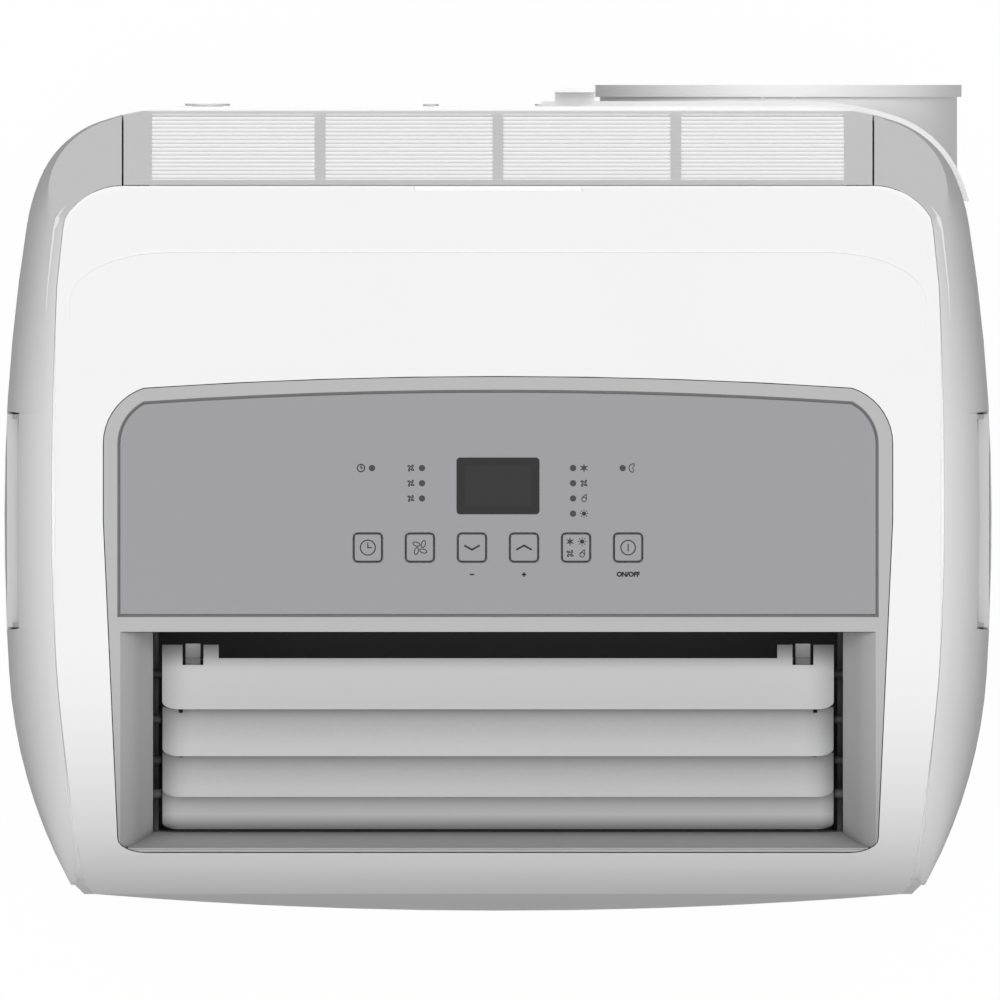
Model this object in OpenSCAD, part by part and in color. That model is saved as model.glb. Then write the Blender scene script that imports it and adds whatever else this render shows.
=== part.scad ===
// Portable air conditioner: a white tower on four casters. A curved louvred outlet rolls over the
// top front edge, the control panel lies on top, the filter grille slants at the top rear, and the
// hot-air outlet with its hose adaptor sits in an open pocket at the lower rear right corner.
// Millimetres. X to the right, Y to the rear, Z up, floor at Z = 0. The origin is the centre of the
// footprint, from the front bow to the lip of the hose adaptor.

/* [Body] */
// Width over the side walls
body_w = 442; // [430:1:460]
// Depth from the front bow to the rear wall
body_d = 360; // [352:1:380]
// Height of the top cover above the floor
body_h = 710; // [700:1:740]
// Wall of the moulded casings
wall = 2.5; // [2:0.1:3.5]
// Underside of the base above the floor
base_z = 46; // [44:1:56]
// Gap between neighbouring casings
seam_gap = 0.4; // [0.3:0.1:0.8]
// Gap between a seated piece and its seat
seat_gap = 0.3; // [0.2:0.05:0.4]

/* [Plan outline] */
// Radius of the rear corners
rear_corner_r = 45; // [41:1:50]
// Radius of the bend that leads from a side wall into the corner
lead_r = 91; // [80:1:100]
// Radius of the bend that leads from the corner into the rear wall
tail_r = 123; // [110:1:140]
// Radius of the front shoulders of the side walls
front_shoulder_r = 225; // [200:5:250]
// Angle that a side wall turns in, towards its front end
front_turn = 29; // [26:0.5:31]
// Angle that a side wall turns in, towards the rear corner
side_turn = 9; // [8:0.5:10]
// Angle at which the rear corner takes over from the leading bend
lead_turn = 23; // [20:0.5:26]
// Angle at which the rear corner ends
tail_turn = 71; // [68:0.5:74]
// Distance of the widest section behind the front
widest_back = 178; // [168:1:188]
// Radius of the bowed front
front_bow_r = 2200; // [1800:50:2600]
// Setback of the side walls behind the bowed front
side_setback = 11.5; // [9:0.5:14]

/* [Crown] */
// Radius of the roll from the top to the front
front_roll_r = 125; // [120:1:130]
// Width of the side wall's shoulder, seen from above
shoulder_w = 21; // [18:0.5:24]
// Fall of the shoulder below the top, along the sides
shoulder_drop = 44; // [38:1:52]
// Extra fall of the shoulder around the rear corners
corner_drop = 12; // [6:1:18]
// Slope of the shoulder where it meets the top cover
shoulder_slope = 37; // [30:1:45]
// Run of the slanted rear band, seen from above
slant_run = 33.2; // [31:0.2:36]
// Fall of the slanted rear band
slant_drop = 50; // [46:1:56]
// Inset of the slanted band's foot from the rear wall
slant_inset = 2; // [1.5:0.1:3]
// Radius of the top cover's rear corners
cover_corner_r = 30.5; // [26:0.5:34]
// Half width of the straight rear edge of the top cover
cover_edge_hw = 168; // [164:1:172]
// Height of the seam between the side walls and the shoulder frame
split_z = 612; // [604:1:620]
// Depth of the flange behind the top cover's edges
flange = 12; // [8:1:16]

/* [Control panel] */
// Half width of the grey bezel beside the panel
bezel_hw = 176.5; // [174:0.5:179]
// Half width of the bezel at its front edge
bezel_front_hw = 170; // [168:0.5:172]
// Length of the bezel behind the start of the front roll
bezel_back = 113.9; // [110:0.1:118]
// Reach of the bezel in front of the start of the front roll
bezel_front = 98.8; // [96:0.1:101]
// Half width of the control panel
panel_hw = 169; // [166:0.5:171]
// Length of the control panel
panel_l = 99; // [96:0.5:102]
// Width of the crossbar between panel and outlet
crossbar = 8; // [6:0.5:10]
// Fall of the panel below the top cover
panel_sink = 2; // [1.2:0.1:3]
// Side of a key
key_w = 12.9; // [11:0.1:14]
// Corner radius of a key
key_r = 2.2; // [1.5:0.1:3]
// Gap around a key
key_gap = 0.35; // [0.3:0.05:0.5]
// Height of a key above the panel
key_rise = 1.2; // [1:0.1:2]
// Travel of a key
key_travel = 0.8; // [0.5:0.1:1]
// Pitch of the keys
key_pitch = 23.3; // [21:0.1:25]
// Keys in front of the panel's rear edge
key_back = 69.3; // [66:0.1:72]
// Width of the display window
display_w = 36.8; // [32:0.2:42]
// Depth of the display window
display_l = 25.1; // [22:0.1:27]
// Display window in front of the panel's rear edge
display_back = 41.7; // [38:0.1:44]
// Radius of an indicator lens
led_r = 1.3; // [1:0.1:1.6]
// Pitch of the indicator lenses in a column
led_pitch = 6.8; // [6:0.1:8]

/* [Louvres] */
// Number of louvre slats
louvres = 4; // [4:1:4]
// Radius of the curve that the lower edges of the slats lie on
louvre_edge_r = 104; // [102:0.5:106]
// Angle between neighbouring slats
louvre_pitch = 12.97; // [12.6:0.01:13.2]
// Angle of the first slat's lower edge, from straight up
louvre_first = 19.6; // [19:0.1:20.5]
// Half width of a slat
louvre_hw = 150.3; // [148:0.1:151]
// Chord of a slat
louvre_chord = 25.6; // [24.6:0.1:26.4]
// Thickness of a slat
louvre_t = 1.8; // [1.5:0.1:2.2]
// Depth of a slat's upper edge below the curve of the lower edges
louvre_dip = 4.2; // [3.6:0.1:5]
// Pivot above a slat's lower edge
pivot_up = 15.5; // [14:0.5:17]
// Pivot behind a slat's face
pivot_in = 7; // [6.5:0.5:7.5]
// Radius of the pivot pins
pivot_r = 2; // [1.8:0.1:2.4]
// Radial clearance of pivots and cranks
pin_gap = 0.06; // [0.04:0.01:0.1]
// Length of the cranks that the tie bars pull
crank_l = 8; // [7:0.5:9]
// Direction of the cranks, from straight down towards the rear
crank_dir = 35; // [30:1:40]
// Radius of the crank pins
crank_pin_r = 1.5; // [1.2:0.1:1.8]
// Distance of the tie bars from the middle
tie_x = 136.5; // [134:0.5:139]
// Width of a tie bar
tie_w = 7; // [5:0.5:8]

/* [Rear grilles] */
// Slats in the slanted grille
slats = 17; // [15:1:18]
// Thickness of a grille slat
slat_t = 1.1; // [0.9:0.1:1.4]
// Depth of a grille slat
slat_d = 3.6; // [3:0.1:4.5]
// Width of the bars between the windows
mullion = 4.6; // [4:0.1:6]
// Half width of the windows of the slanted grille
window_hw = 155; // [150:1:158]
// Width of the lower grille
low_grille_w = 156; // [140:1:160]
// Height of the lower grille
low_grille_h = 210; // [180:5:215]
// Foot of the lower grille above the floor
low_grille_z = 108; // [100:1:115]
// Distance of the lower grille's middle left of the centre
low_grille_left = 66; // [62:1:70]
// Slats in the lower grille
low_slats = 22; // [16:1:26]

/* [Hose outlet] */
// Radius of the hose adaptor's tube
adaptor_r = 80; // [76:0.5:81]
// Radius of the adaptor's lip
adaptor_lip_r = 82; // [81.5:0.1:84]
// Reach of the lip behind the rear wall
lip_reach = 9.6; // [8:0.1:12]
// Length of the lip
lip_l = 5.4; // [4:0.1:7]
// Distance of the hose outlet right of the centre
outlet_x = 125.5; // [122:0.5:128]
// Height of the hose outlet above the floor
outlet_z = 250; // [246:1:254]
// Depth of the pocket in front of the rear wall
pocket_d = 40; // [38:1:44]
// Half height of the pocket
pocket_hh = 88; // [86:1:92]
// Left wall of the pocket, right of the centre
pocket_x = 22; // [18:1:26]
// Wall of the adaptor and its spigot
tube_wall = 2.4; // [2:0.1:3]
// Radial gap between adaptor and spigot
spigot_gap = 0.35; // [0.3:0.05:0.5]
// Length of the spigot in the pocket
spigot_l = 26; // [20:1:30]

/* [Handles] */
// Length of the handle recesses
handle_l = 97; // [90:1:105]
// Rear end of the handle recesses behind the start of the front roll
handle_back = 98; // [90:1:104]
// Depth of a handle recess
handle_d = 30; // [26:1:34]
// Height of a handle opening
handle_h = 40; // [34:1:50]

/* [Casters] */
// Radius of a caster wheel
wheel_r = 16; // [15:0.5:18]
// Width of a caster wheel
wheel_w = 14; // [12:0.5:16]
// Trail of a caster wheel behind its stem
caster_trail = 13; // [11:0.5:15]
// Radius of a caster stem
stem_r = 4; // [3.5:0.5:5]
// Distance of the casters from the middle
caster_x = 162; // [150:1:166]
// Distance of the front casters behind the front
caster_front = 52; // [48:1:60]
// Distance of the rear casters in front of the rear wall
caster_rear = 62; // [58:1:70]

/* [Air path] */
// Radius of the cold-air fan wheel
cold_fan_r = 76; // [70:1:80]
// Length of the cold-air fan wheel
cold_fan_l = 58; // [50:1:60]
// Radius of the hot-air fan wheel
hot_fan_r = 64; // [60:1:68]
// Length of the hot-air fan wheel
hot_fan_l = 44; // [38:1:46]
// Blades of the fan wheels
blades = 28; // [20:1:32]
// Radius of the motor shafts
shaft_r = 4; // [3:0.5:5]
// Radius of the compressor shell
compressor_r = 58; // [54:1:62]
// Height of the compressor shell
compressor_h = 205; // [190:5:220]

/* [Hidden] */
$fn = 64;
e = 0.01;

// Main stations along the depth
front_y = -(body_d + lip_reach) / 2;
rear_y = front_y + body_d;
lip_y = rear_y + lip_reach;
side_end_y = front_y + side_setback;
widest_y = front_y + widest_back;
roll_y = front_y + front_roll_r;
roll_z = body_h - front_roll_r;
cover_edge_y = rear_y - slant_inset - slant_run;

// Centres of the arcs in the right half of the plan outline, with their radius and angles
shoulder_y = side_end_y + front_shoulder_r * sin(front_turn);
front_blend = 3.5;
front_side_r = (widest_y - shoulder_y + front_shoulder_r * sin(front_blend)
    ) / sin(front_blend);
rear_side_r = lead_r + (rear_y - widest_y - tail_r - (lead_r - rear_corner_r) * sin(lead_turn)
    - (rear_corner_r - tail_r) * sin(tail_turn)) / sin(side_turn);
function unit(t) = [cos(t), sin(t)];
lead_c = [body_w / 2 - rear_side_r, widest_y] + (rear_side_r - lead_r) * unit(side_turn);
corner_c = lead_c + (lead_r - rear_corner_r) * unit(lead_turn);
tail_c = corner_c + (rear_corner_r - tail_r) * unit(tail_turn);
shoulder_x = body_w / 2 - front_side_r * (1 - cos(front_blend))
    - front_shoulder_r * cos(front_blend);
corner_y = lead_c[1];
end_turn = 0.55;
OUTLINE_ARCS = [
    [shoulder_x, shoulder_y, front_shoulder_r, -front_turn, -front_turn + end_turn, 1],
    [shoulder_x, shoulder_y, front_shoulder_r, -front_turn + end_turn,
        -front_turn + 2 * end_turn, 1],
    [shoulder_x, shoulder_y, front_shoulder_r, -front_turn + 2 * end_turn, -front_blend, 8],
    [body_w / 2 - front_side_r, widest_y, front_side_r, -front_blend, 0, 3],
    [body_w / 2 - rear_side_r, widest_y, rear_side_r, 0, side_turn, 5],
    [lead_c[0], lead_c[1], lead_r, side_turn, lead_turn, 4],
    [corner_c[0], corner_c[1], rear_corner_r, lead_turn, tail_turn, 9],
    [tail_c[0], tail_c[1], tail_r, tail_turn, 90, 4]
];

// Stations of the plan outline from the right front end round the rear to the left front end.
// Each is [x, y, outward normal x, outward normal y].
function arc_station(a, t) = [a[0] + a[2] * cos(t), a[1] + a[2] * sin(t), cos(t), sin(t)];
function arc_stations(a) = [
    for (i = [0:a[5] - 1]) arc_station(a, a[3] + (a[4] - a[3]) * i / a[5])
];
HALF = concat(
    [for (a = OUTLINE_ARCS) each arc_stations(a)],
    [[tail_c[0], rear_y, 0, 1]]
);
STATIONS = concat(
    HALF,
    [for (i = [len(HALF) - 1:-1:0]) [-HALF[i][0], HALF[i][1], -HALF[i][2], HALF[i][3]]]
);

// Width and fall of the shoulder at a station, and the groove beside the front cover
taper_y = front_y + 105;
groove_w = 3.4;
function clamp01(v) = max(0, min(1, v));
function mix(a, b, t) = a + (b - a) * t;
function taper(y) = clamp01((taper_y - y) / (taper_y - side_end_y));
function rear_taper(y) = clamp01((y - widest_y) / (corner_y - widest_y));
function strip_w(s) = shoulder_w * (1 - 0.88 * pow(taper(s[1]), 2.4))
    * (1 - 0.24 * pow(rear_taper(s[1]), 2));
function groove(s) = groove_w * pow(taper(s[1]), 3);
function strip_drop(s) = s[1] < widest_y
    ? shoulder_drop * pow(strip_w(s) / shoulder_w, 2)
    : shoulder_drop + corner_drop * clamp01((asin(s[3]) - side_turn) / 30);

// Height of the top and front roll at a depth y
function top_z(y) = y < roll_y
    ? roll_z + sqrt(max(0, pow(front_roll_r, 2) - pow(roll_y - y, 2)))
    : body_h;

// Stations of the right shoulder, from the front end to the rear seam beside the upper grille.
// Round the corner each one runs from the outline to the corner of the top cover.
cover_cy = cover_edge_y - cover_corner_r;
frame_end_x = cover_edge_hw + seam_gap;
corner_turn0 = 13.5;
corner_turn1 = acos((frame_end_x - tail_c[0]) / tail_r);
cover_turn0 = 32;
cover_turn1 = acos(seam_gap / cover_corner_r);
CORNER_STEPS = 13;
function corner_point(t) = arc_station(
    t < lead_turn ? OUTLINE_ARCS[5] : t < tail_turn ? OUTLINE_ARCS[6] : OUTLINE_ARCS[7], t);
corner_start_y = corner_point(corner_turn0)[1];
function corner_station(k) = let (
    p = corner_point(mix(corner_turn0, corner_turn1, k)),
    b = mix(cover_turn0, cover_turn1, k),
    q = [cover_edge_hw + cover_corner_r * cos(b), cover_cy + cover_corner_r * sin(b)],
    v = [p[0] - q[0], p[1] - q[1]]
) [p[0], p[1], v[0] / norm(v), v[1] / norm(v), norm(v)];
function side_station(y) = let (
    r = y < widest_y ? front_side_r : rear_side_r,
    s = arc_station([body_w / 2 - r, widest_y, r], asin((y - widest_y) / r))
) concat(s, [strip_w(s)]);
function side_stations(y0, y1) = [
    for (s = HALF) if (s[1] > y0 + 2 && s[1] < y1 - 2) concat(s, [strip_w(s)])
];
handle_y1 = roll_y + handle_back;
handle_y0 = handle_y1 - handle_l;
FRAME = concat(
    side_stations(front_y, handle_y0),
    [for (y = [handle_y0 - 0.5, handle_y0 + 0.1]) side_station(y)],
    side_stations(handle_y0, handle_y1),
    [for (y = [handle_y1 - 0.1, handle_y1 + 0.5]) side_station(y)],
    side_stations(handle_y1, corner_start_y),
    [for (i = [0:CORNER_STEPS]) corner_station(i / CORNER_STEPS)]
);

// Distance of a plan point outside the top cover's rear edge and corners
function cover_dist(p) = norm([max(abs(p[0]) - cover_edge_hw, 0), max(p[1] - cover_cy, 0)])
    - cover_corner_r;
function inward(s, d) = [s[0] - d * s[2], s[1] - d * s[3]];

// Shoulder and slanted band over a station, at a distance d inside the outline
function shoulder_z(s, d) = let (
    c = 1 - min(1, d / strip_w(s)) * (1 - sin(shoulder_slope))
) top_z(inward(s, d)[1]) - strip_drop(s) * (1 - sqrt(1 - c * c) / cos(shoulder_slope));
function band_z(s, d) = body_h
    - slant_drop / slant_run * max(0, cover_dist(inward(s, d)));
function has_band(s) = s[1] > corner_start_y - 1;
function skin_z(s, d) = has_band(s) ? min(shoulder_z(s, d), band_z(s, d)) : shoulder_z(s, d);

// Distance at which the shoulder and the band meet, by halving
function crease_d(s, lo, hi, n) = n == 0 ? (lo + hi) / 2 : let (m = (lo + hi) / 2)
    shoulder_z(s, m) < band_z(s, m) ? crease_d(s, m, hi, n - 1) : crease_d(s, lo, m, n - 1);
function knee_d(s) = has_band(s)
    ? max(0.6, min(crease_d(s, 0, s[4], 12), 0.8 * s[4])) : 0.8 * s[4];

// Section of the shoulder frame at a station, as [distance inside the outline, height]. Over a
// handle the section starts at the upper lip of the opening.
OUTER = 6;
BAND = 4;
lip_d = 5.4;
function at_handle(s) = s[1] > handle_y0 && s[1] < handle_y1;
function skin_ds(s) = let (k = knee_d(s), w = s[4], lo = at_handle(s) ? lip_d : 0) concat(
    [for (i = [0:OUTER]) lo + (k - lo) * pow(i / OUTER, 1.3)],
    [for (i = [1:BAND]) k + (w - k) * i / BAND]
);
function section(s, solid) = let (
    ds = skin_ds(s),
    w = s[4],
    n = len(ds),
    outer = [for (d = ds) [d, skin_z(s, d)]],
    lap = [w + groove(s) + 0.2, skin_z(s, w) - 1 - groove(s) / 3],
    inner = [
        for (i = [n - 1, n - 3, OUTER, 2, 0]) let (
            a = 90 - 70 * i / (n - 1),
            o = outer[i],
            z = o[1] - 0.3 * taper(s[1]) * (n - 1 - i)
        ) solid ? [lap[0] - 0.04 * pow(n + 1 - i, 2), z - wall * 1.4]
            : [min(lap[0], o[0] + wall * sin(a)), z - wall * (0.9 * cos(a) + 0.4 * i / (n - 1))]
    ],
    foot = at_handle(s) ? [outer[0][0] + 0.4, outer[0][1] - 1.6] : [0, split_z],
    heel = at_handle(s) ? [outer[0][0] + 1.6, outer[0][1] - 2.4] : [wall, split_z]
) concat([foot], outer, [lap], inner, [heel]);
function ring(s, solid) = [
    for (q = section(s, solid)) [s[0] - q[0] * s[2], s[1] - q[0] * s[3], q[1]]
];

// Closed loft through rings of equal length
module loft(rings) {
    n = len(rings[0]);
    m = len(rings);
    polyhedron(
        points = [for (r = rings) each r],
        faces = concat(
            [[for (j = [n - 1:-1:0]) j]],
            [for (i = [0:m - 2]) for (j = [0:n - 1]) let (k = (j + 1) % n)
                each [[i * n + j, i * n + k, (i + 1) * n + j],
                    [i * n + k, (i + 1) * n + k, (i + 1) * n + j]]],
            [[for (j = [0:n - 1]) (m - 1) * n + j]]
        )
    );
}

// Plan outlines. side_plan is the side and rear wall's, closed straight across at the front.
// seam_plan is the inner edge of the shoulder.
module side_plan(inset = 0) {
    polygon([for (s = STATIONS) inward(s, inset)]);
}
module seam_plan(inset = 0) {
    polygon([for (s = STATIONS) inward(s, strip_w(s) + groove(s) + inset)]);
}
seam_end = STATIONS[0];
nose_hw = seam_end[0] - strip_w(seam_end) - groove_w - seam_gap;
nose_bevel = 4;
module bow(inset = 0) {
    translate([0, front_y + front_bow_r]) circle(r = front_bow_r - inset, $fn = 720);
}
module nose_plan(inset = 0) {
    w = nose_hw - inset;
    back = side_end_y + 30;
    polygon([
        [-w, back], [-w, side_end_y], [-w + nose_bevel, side_end_y - nose_bevel],
        [-w + nose_bevel, front_y], [w - nose_bevel, front_y],
        [w - nose_bevel, side_end_y - nose_bevel], [w, side_end_y], [w, back]
    ]);
}
module cover_rear_plan(inset = 0) {
    r = cover_corner_r - inset;
    translate([-cover_edge_hw, front_y]) square([2 * cover_edge_hw, cover_cy + r - front_y]);
    for (m = [-1, 1]) translate([m * cover_edge_hw, cover_cy]) circle(r = r);
    translate([-cover_edge_hw - r, front_y])
        square([2 * (cover_edge_hw + r), cover_cy - front_y]);
}
module cover_plan(inset = 0) {
    intersection() {
        bow(inset);
        union() {
            intersection() {
                seam_plan(seam_gap + inset);
                cover_rear_plan(seam_gap + inset);
            }
            nose_plan(inset);
        }
    }
}
// The whole footprint inside the side walls and behind the bowed front
module foot_plan(inset = 0) {
    intersection() {
        bow(inset);
        union() {
            side_plan(inset);
            nose_plan(inset);
        }
    }
}

// Side profile of the top cover and front, as [y, z], sunk by a depth below the outer face
crown_fall = 0.9;
crown_run = 30.4;
module cover_profile(sink = 0) {
    r = front_roll_r - sink;
    translate([roll_y, roll_z]) circle(r = r, $fn = 128);
    polygon([
        [front_y + sink, base_z], [front_y + sink, roll_z], [roll_y, roll_z],
        [roll_y, body_h - sink], [cover_edge_y - crown_run, body_h - sink],
        [rear_y, body_h - sink - crown_fall * (rear_y - cover_edge_y + crown_run) / crown_run],
        [rear_y, base_z]
    ]);
}
module across(w) {
    rotate([90, 0, 90]) linear_extrude(w, center = true) children();
}
module upright(z0, z1) {
    translate([0, 0, z0]) linear_extrude(z1 - z0) children();
}
module rounded(w, l, r) {
    x = w / 2 - r;
    y = l / 2 - r;
    for (i = [-1, 1], j = [-1, 1]) translate([i * x, j * y]) circle(r = r, $fn = 32);
    square([w - 2 * r, l], center = true);
    square([w, l - 2 * r], center = true);
}

// Grey bezel on top: its plan, and the pockets in it
bezel_y1 = roll_y + bezel_back;
bezel_y0 = roll_y - bezel_front;
bezel_arch_r = 2400;
bezel_corner_r = 26;
function bezel_foot_corner(m, t, grow) = [
    m * (bezel_front_hw - 13) + (13 + grow) * cos(t), bezel_y0 + 6 + (6 + grow) * sin(t)
];
module bezel_plan(grow = 0) {
    intersection() {
        translate([0, bezel_y1 - bezel_arch_r]) circle(r = bezel_arch_r + grow, $fn = 720);
        union() {
            polygon(concat(
                [for (t = [180:15:270]) bezel_foot_corner(-1, t, grow)],
                [for (t = [270:15:360]) bezel_foot_corner(1, t, grow)],
                [[bezel_hw + grow, roll_y + 50], [bezel_hw + grow, bezel_y1 - bezel_corner_r - 4],
                [-bezel_hw - grow, bezel_y1 - bezel_corner_r - 4], [-bezel_hw - grow, roll_y + 50]]
            ));
            for (m = [-1, 1]) translate([m * (bezel_hw - bezel_corner_r),
                bezel_y1 - bezel_corner_r - 4]) circle(r = bezel_corner_r + grow);
            translate([-(bezel_hw - bezel_corner_r), roll_y])
                square([2 * (bezel_hw - bezel_corner_r), bezel_back + grow]);
        }
    }
}
panel_y1 = roll_y + bezel_back - 7.1;
panel_y0 = panel_y1 - panel_l;
panel_corner_r = 20;
module panel_plan(inset = 0) {
    r = panel_corner_r - inset;
    intersection() {
        translate([0, panel_y1 - bezel_arch_r]) circle(r = bezel_arch_r - inset, $fn = 720);
        union() {
            translate([-panel_hw + inset, panel_y0 + inset])
                square([2 * (panel_hw - inset), panel_l - panel_corner_r - 3 - inset]);
            for (m = [-1, 1]) translate([m * (panel_hw - panel_corner_r),
                panel_y1 - panel_corner_r - 3]) circle(r = r);
            translate([-(panel_hw - panel_corner_r), panel_y0 + inset])
                square([2 * (panel_hw - panel_corner_r), panel_l - 2 * inset]);
        }
    }
}
outlet_y1 = panel_y0 - crossbar;

// Revolves a profile of [radius, x] about the axis of the front roll, by angles from straight up
module roll_sweep(a0, a1) {
    translate([0, roll_y, roll_z]) rotate([180, -90, 0]) rotate([0, 0, a0])
        rotate_extrude(angle = a1 - a0, $fn = 128) children();
}
function on_roll(r, a) = [roll_y - r * sin(a), roll_z + r * cos(a)];

// Louvre i: lower and upper edge, pivot and crank pin, as [y, z]
function louvre_low(i) = on_roll(louvre_edge_r, louvre_first + louvre_pitch * (i - 1));
function louvre_top(i) = on_roll(louvre_edge_r - louvre_dip, louvre_first
    + louvre_pitch * (i - 1) - 2 * asin(louvre_chord / 2 / (louvre_edge_r - louvre_dip / 2)));
function along(i) = let (v = louvre_top(i) - louvre_low(i)) v / norm(v);
function outward(i) = let (v = along(i)) [-v[1], v[0]];
function pivot(i) = louvre_low(i) + pivot_up * along(i) - pivot_in * outward(i);
crank = crank_l * [sin(crank_dir), -cos(crank_dir)];
function crank_pin(i) = pivot(i) + crank;

// Main casings
casing_z = base_z + 4;
module base_tray() {
    color("lightgray") difference() {
        union() {
            upright(base_z, casing_z - seat_gap) foot_plan(0.5);
            upright(casing_z - seat_gap - e, base_z + 22)
                difference() {
                    foot_plan(wall + seat_gap);
                    foot_plan(2 * wall + seat_gap);
                }
            for (c = CASTERS) translate([c[0], c[1], base_z - 3.7])
                cylinder(r = stem_r + 7, h = 24);
            for (a = [90:120:330]) translate(compressor_foot(a, base_z)) cylinder(r = 9, h = 12);
        }
        for (c = CASTERS) translate([c[0], c[1], base_z - 5])
            cylinder(r = stem_r + pin_gap, h = 23);
        for (a = [90:120:330]) translate(compressor_foot(a, base_z + 3)) cylinder(r = 3, h = 12);
        for (s = SCREWS) screw_hole(s, 2);
        drain_hole(drain_r + 0.4);
    }
}

module front_casing() {
    color("white") difference() {
        intersection() {
            across(body_w) cover_profile();
            upright(casing_z, body_h + 1) cover_plan();
        }
        intersection() {
            across(body_w) cover_profile(wall);
            upright(base_z, body_h) cover_plan(wall);
        }
        across(body_w) cover_profile(flange);
        upright(roll_z, body_h + 1) bezel_plan(seam_gap);
        box([-cover_edge_hw, cover_edge_y - 2 * wall, roll_z],
            [cover_edge_hw, cover_edge_y + 1, body_h - crown_fall - wall]);
        translate([0, cover_edge_y - seam_gap + 1, body_h]) rotate([90, 0, 0])
            linear_extrude(7, center = true) rounded(76, 3.2, 1.5);
    }
}

// The upper shoulders of the side walls, and the lower walls under them
module shoulder() {
    color("white") loft([for (i = [0:len(FRAME) - 1]) ring(FRAME[i], i < 2)]);
}
module shoulder_right() {
    shoulder();
}
module shoulder_left() {
    mirror([1, 0, 0]) shoulder();
}
module wall_plan() {
    w = seam_end[0] - strip_w(seam_end) - groove_w;
    difference() {
        side_plan();
        side_plan(wall);
        translate([-w, front_y]) square([2 * w, side_setback + 20]);
    }
}
module rear_casing() {
    x = cover_edge_hw;
    color("white") difference() {
        union() {
            upright(casing_z, split_z - seat_gap) wall_plan();
            upright(split_z - seat_gap, body_h - slant_drop - seat_gap)
                intersection() {
                    wall_plan();
                    translate([-x, corner_y]) square([2 * x, rear_y - corner_y + 1]);
                }
        }
        pocket_hull(seat_gap);
        low_grille_cut(seat_gap);
        for (s = SCREWS) screw_hole(s, screw_r + 0.1);
        drain_hole(drain_r + 0.4);
        translate([gland_x, rear_y, gland_z]) rotate([90, 0, 0])
            cylinder(r = gland_r + 0.2, h = 4 * wall, center = true);
        for (s = HOOKS) translate([s[0], rear_y, s[1]]) rotate([90, 0, 0])
            cylinder(r = screw_r + 0.1, h = 4 * wall, center = true);
    }
}

// Bezel, control panel and keys
bezel_sink = 0.8;
bezel_t = 4.7;
bevel_hw = 169;
cheek_top_hw = 163.8;
cheek_hw = 154.4;
cheek_in_r = 84;
cheek_t = 3.6;
sill_y = bezel_y0 + 1.2;
module cheek() {
    top = front_roll_r - bezel_sink - 0.2;
    low = front_roll_r - bezel_sink - bezel_t;
    polygon([
        [top, bevel_hw + 0.8], [top, bevel_hw], [low, cheek_top_hw],
        [louvre_edge_r, cheek_hw], [cheek_in_r, cheek_hw], [cheek_in_r, cheek_hw + cheek_t],
        [louvre_edge_r - 1, cheek_hw + cheek_t], [low - 3, cheek_top_hw + cheek_t],
        [low + 1, bevel_hw + 0.8]
    ]);
}
module outlet_bezel() {
    low = louvre_low(louvres);
    color("silver") difference() {
        union() {
            difference() {
                intersection() {
                    across(body_w) difference() {
                        cover_profile(bezel_sink);
                        cover_profile(bezel_sink + bezel_t);
                    }
                    upright(roll_z, body_h) bezel_plan();
                }
                upright(body_h - panel_sink - panel_t - seat_gap, body_h) panel_plan(-groove_gap);
                upright(roll_z, body_h) panel_plan(3);
                translate([-bevel_hw, sill_y, roll_z])
                    cube([2 * bevel_hw, outlet_y1 - sill_y, front_roll_r]);
            }
            for (m = [0, 1]) mirror([m, 0, 0]) {
                intersection() {
                    roll_sweep(0.2, sill_a) cheek();
                    upright(roll_z, body_h) bezel_plan();
                }
                roll_sweep(0.2, sill_a) intersection() {
                    cheek();
                    square([front_roll_r - wall - seat_gap, body_w]);
                }
            }
            across(2 * (cheek_hw + cheek_t)) polygon([
                [outlet_y1 - e, body_h - 3], [outlet_y1 - e, body_h - 26],
                [outlet_y1 + 2, body_h - 26], [outlet_y1 + 2, body_h - 3]
            ]);
            intersection() {
                across(2 * cheek_top_hw + 4) polygon([
                    low + [-1, -5], low + [-3.2, -6], [sill_y - 1, top_z(sill_y) - 5],
                    [sill_y - 1, top_z(sill_y) - 1.4], [sill_y + 0.6, top_z(sill_y) - 2.2]
                ]);
                upright(roll_z, body_h) bezel_plan();
            }
        }
        for (i = [1:louvres]) translate([0, pivot(i)[0], pivot(i)[1]]) rotate([0, 90, 0])
            cylinder(r = pivot_r + pin_gap, h = body_w, center = true);
    }
}
sill_a = 60;
groove_gap = 1.4;
panel_t = 2.2;
panel_z = body_h - panel_sink;
key_y = panel_y1 - key_back;
KEY_X = [for (i = [0:5]) (i - 2.5) * key_pitch];
display_y = panel_y1 - display_back;
LEDS = concat(
    [[-56.4, 0], [55.8, 0]],
    [for (i = [0:2]) [-34, -i * led_pitch]],
    [for (i = [0:3]) [33.6, -i * led_pitch]]
);
led_y = panel_y1 - 33.7;
module control_panel() {
    color("darkgray") difference() {
        upright(panel_z - panel_t, panel_z) panel_plan();
        for (x = KEY_X) upright(roll_z, body_h)
            translate([x, key_y]) rounded(key_w + 2 * key_gap, key_w + 2 * key_gap,
                key_r + key_gap);
        upright(panel_z - 1.2, body_h) translate([0, display_y])
            rounded(display_w + 0.4, display_l + 0.4, 1.7);
        upright(roll_z, body_h) translate([0, display_y])
            rounded(display_w - 4, display_l - 4, 1);
        for (p = LEDS) translate([p[0], led_y + p[1], roll_z])
            cylinder(r = led_r + 0.1, h = body_h, $fn = 24);
    }
}
module display_window() {
    color("dimgray") upright(panel_z - 1.1, panel_z + 0.1) translate([0, display_y])
        rounded(display_w, display_l, 1.5);
}
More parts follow.
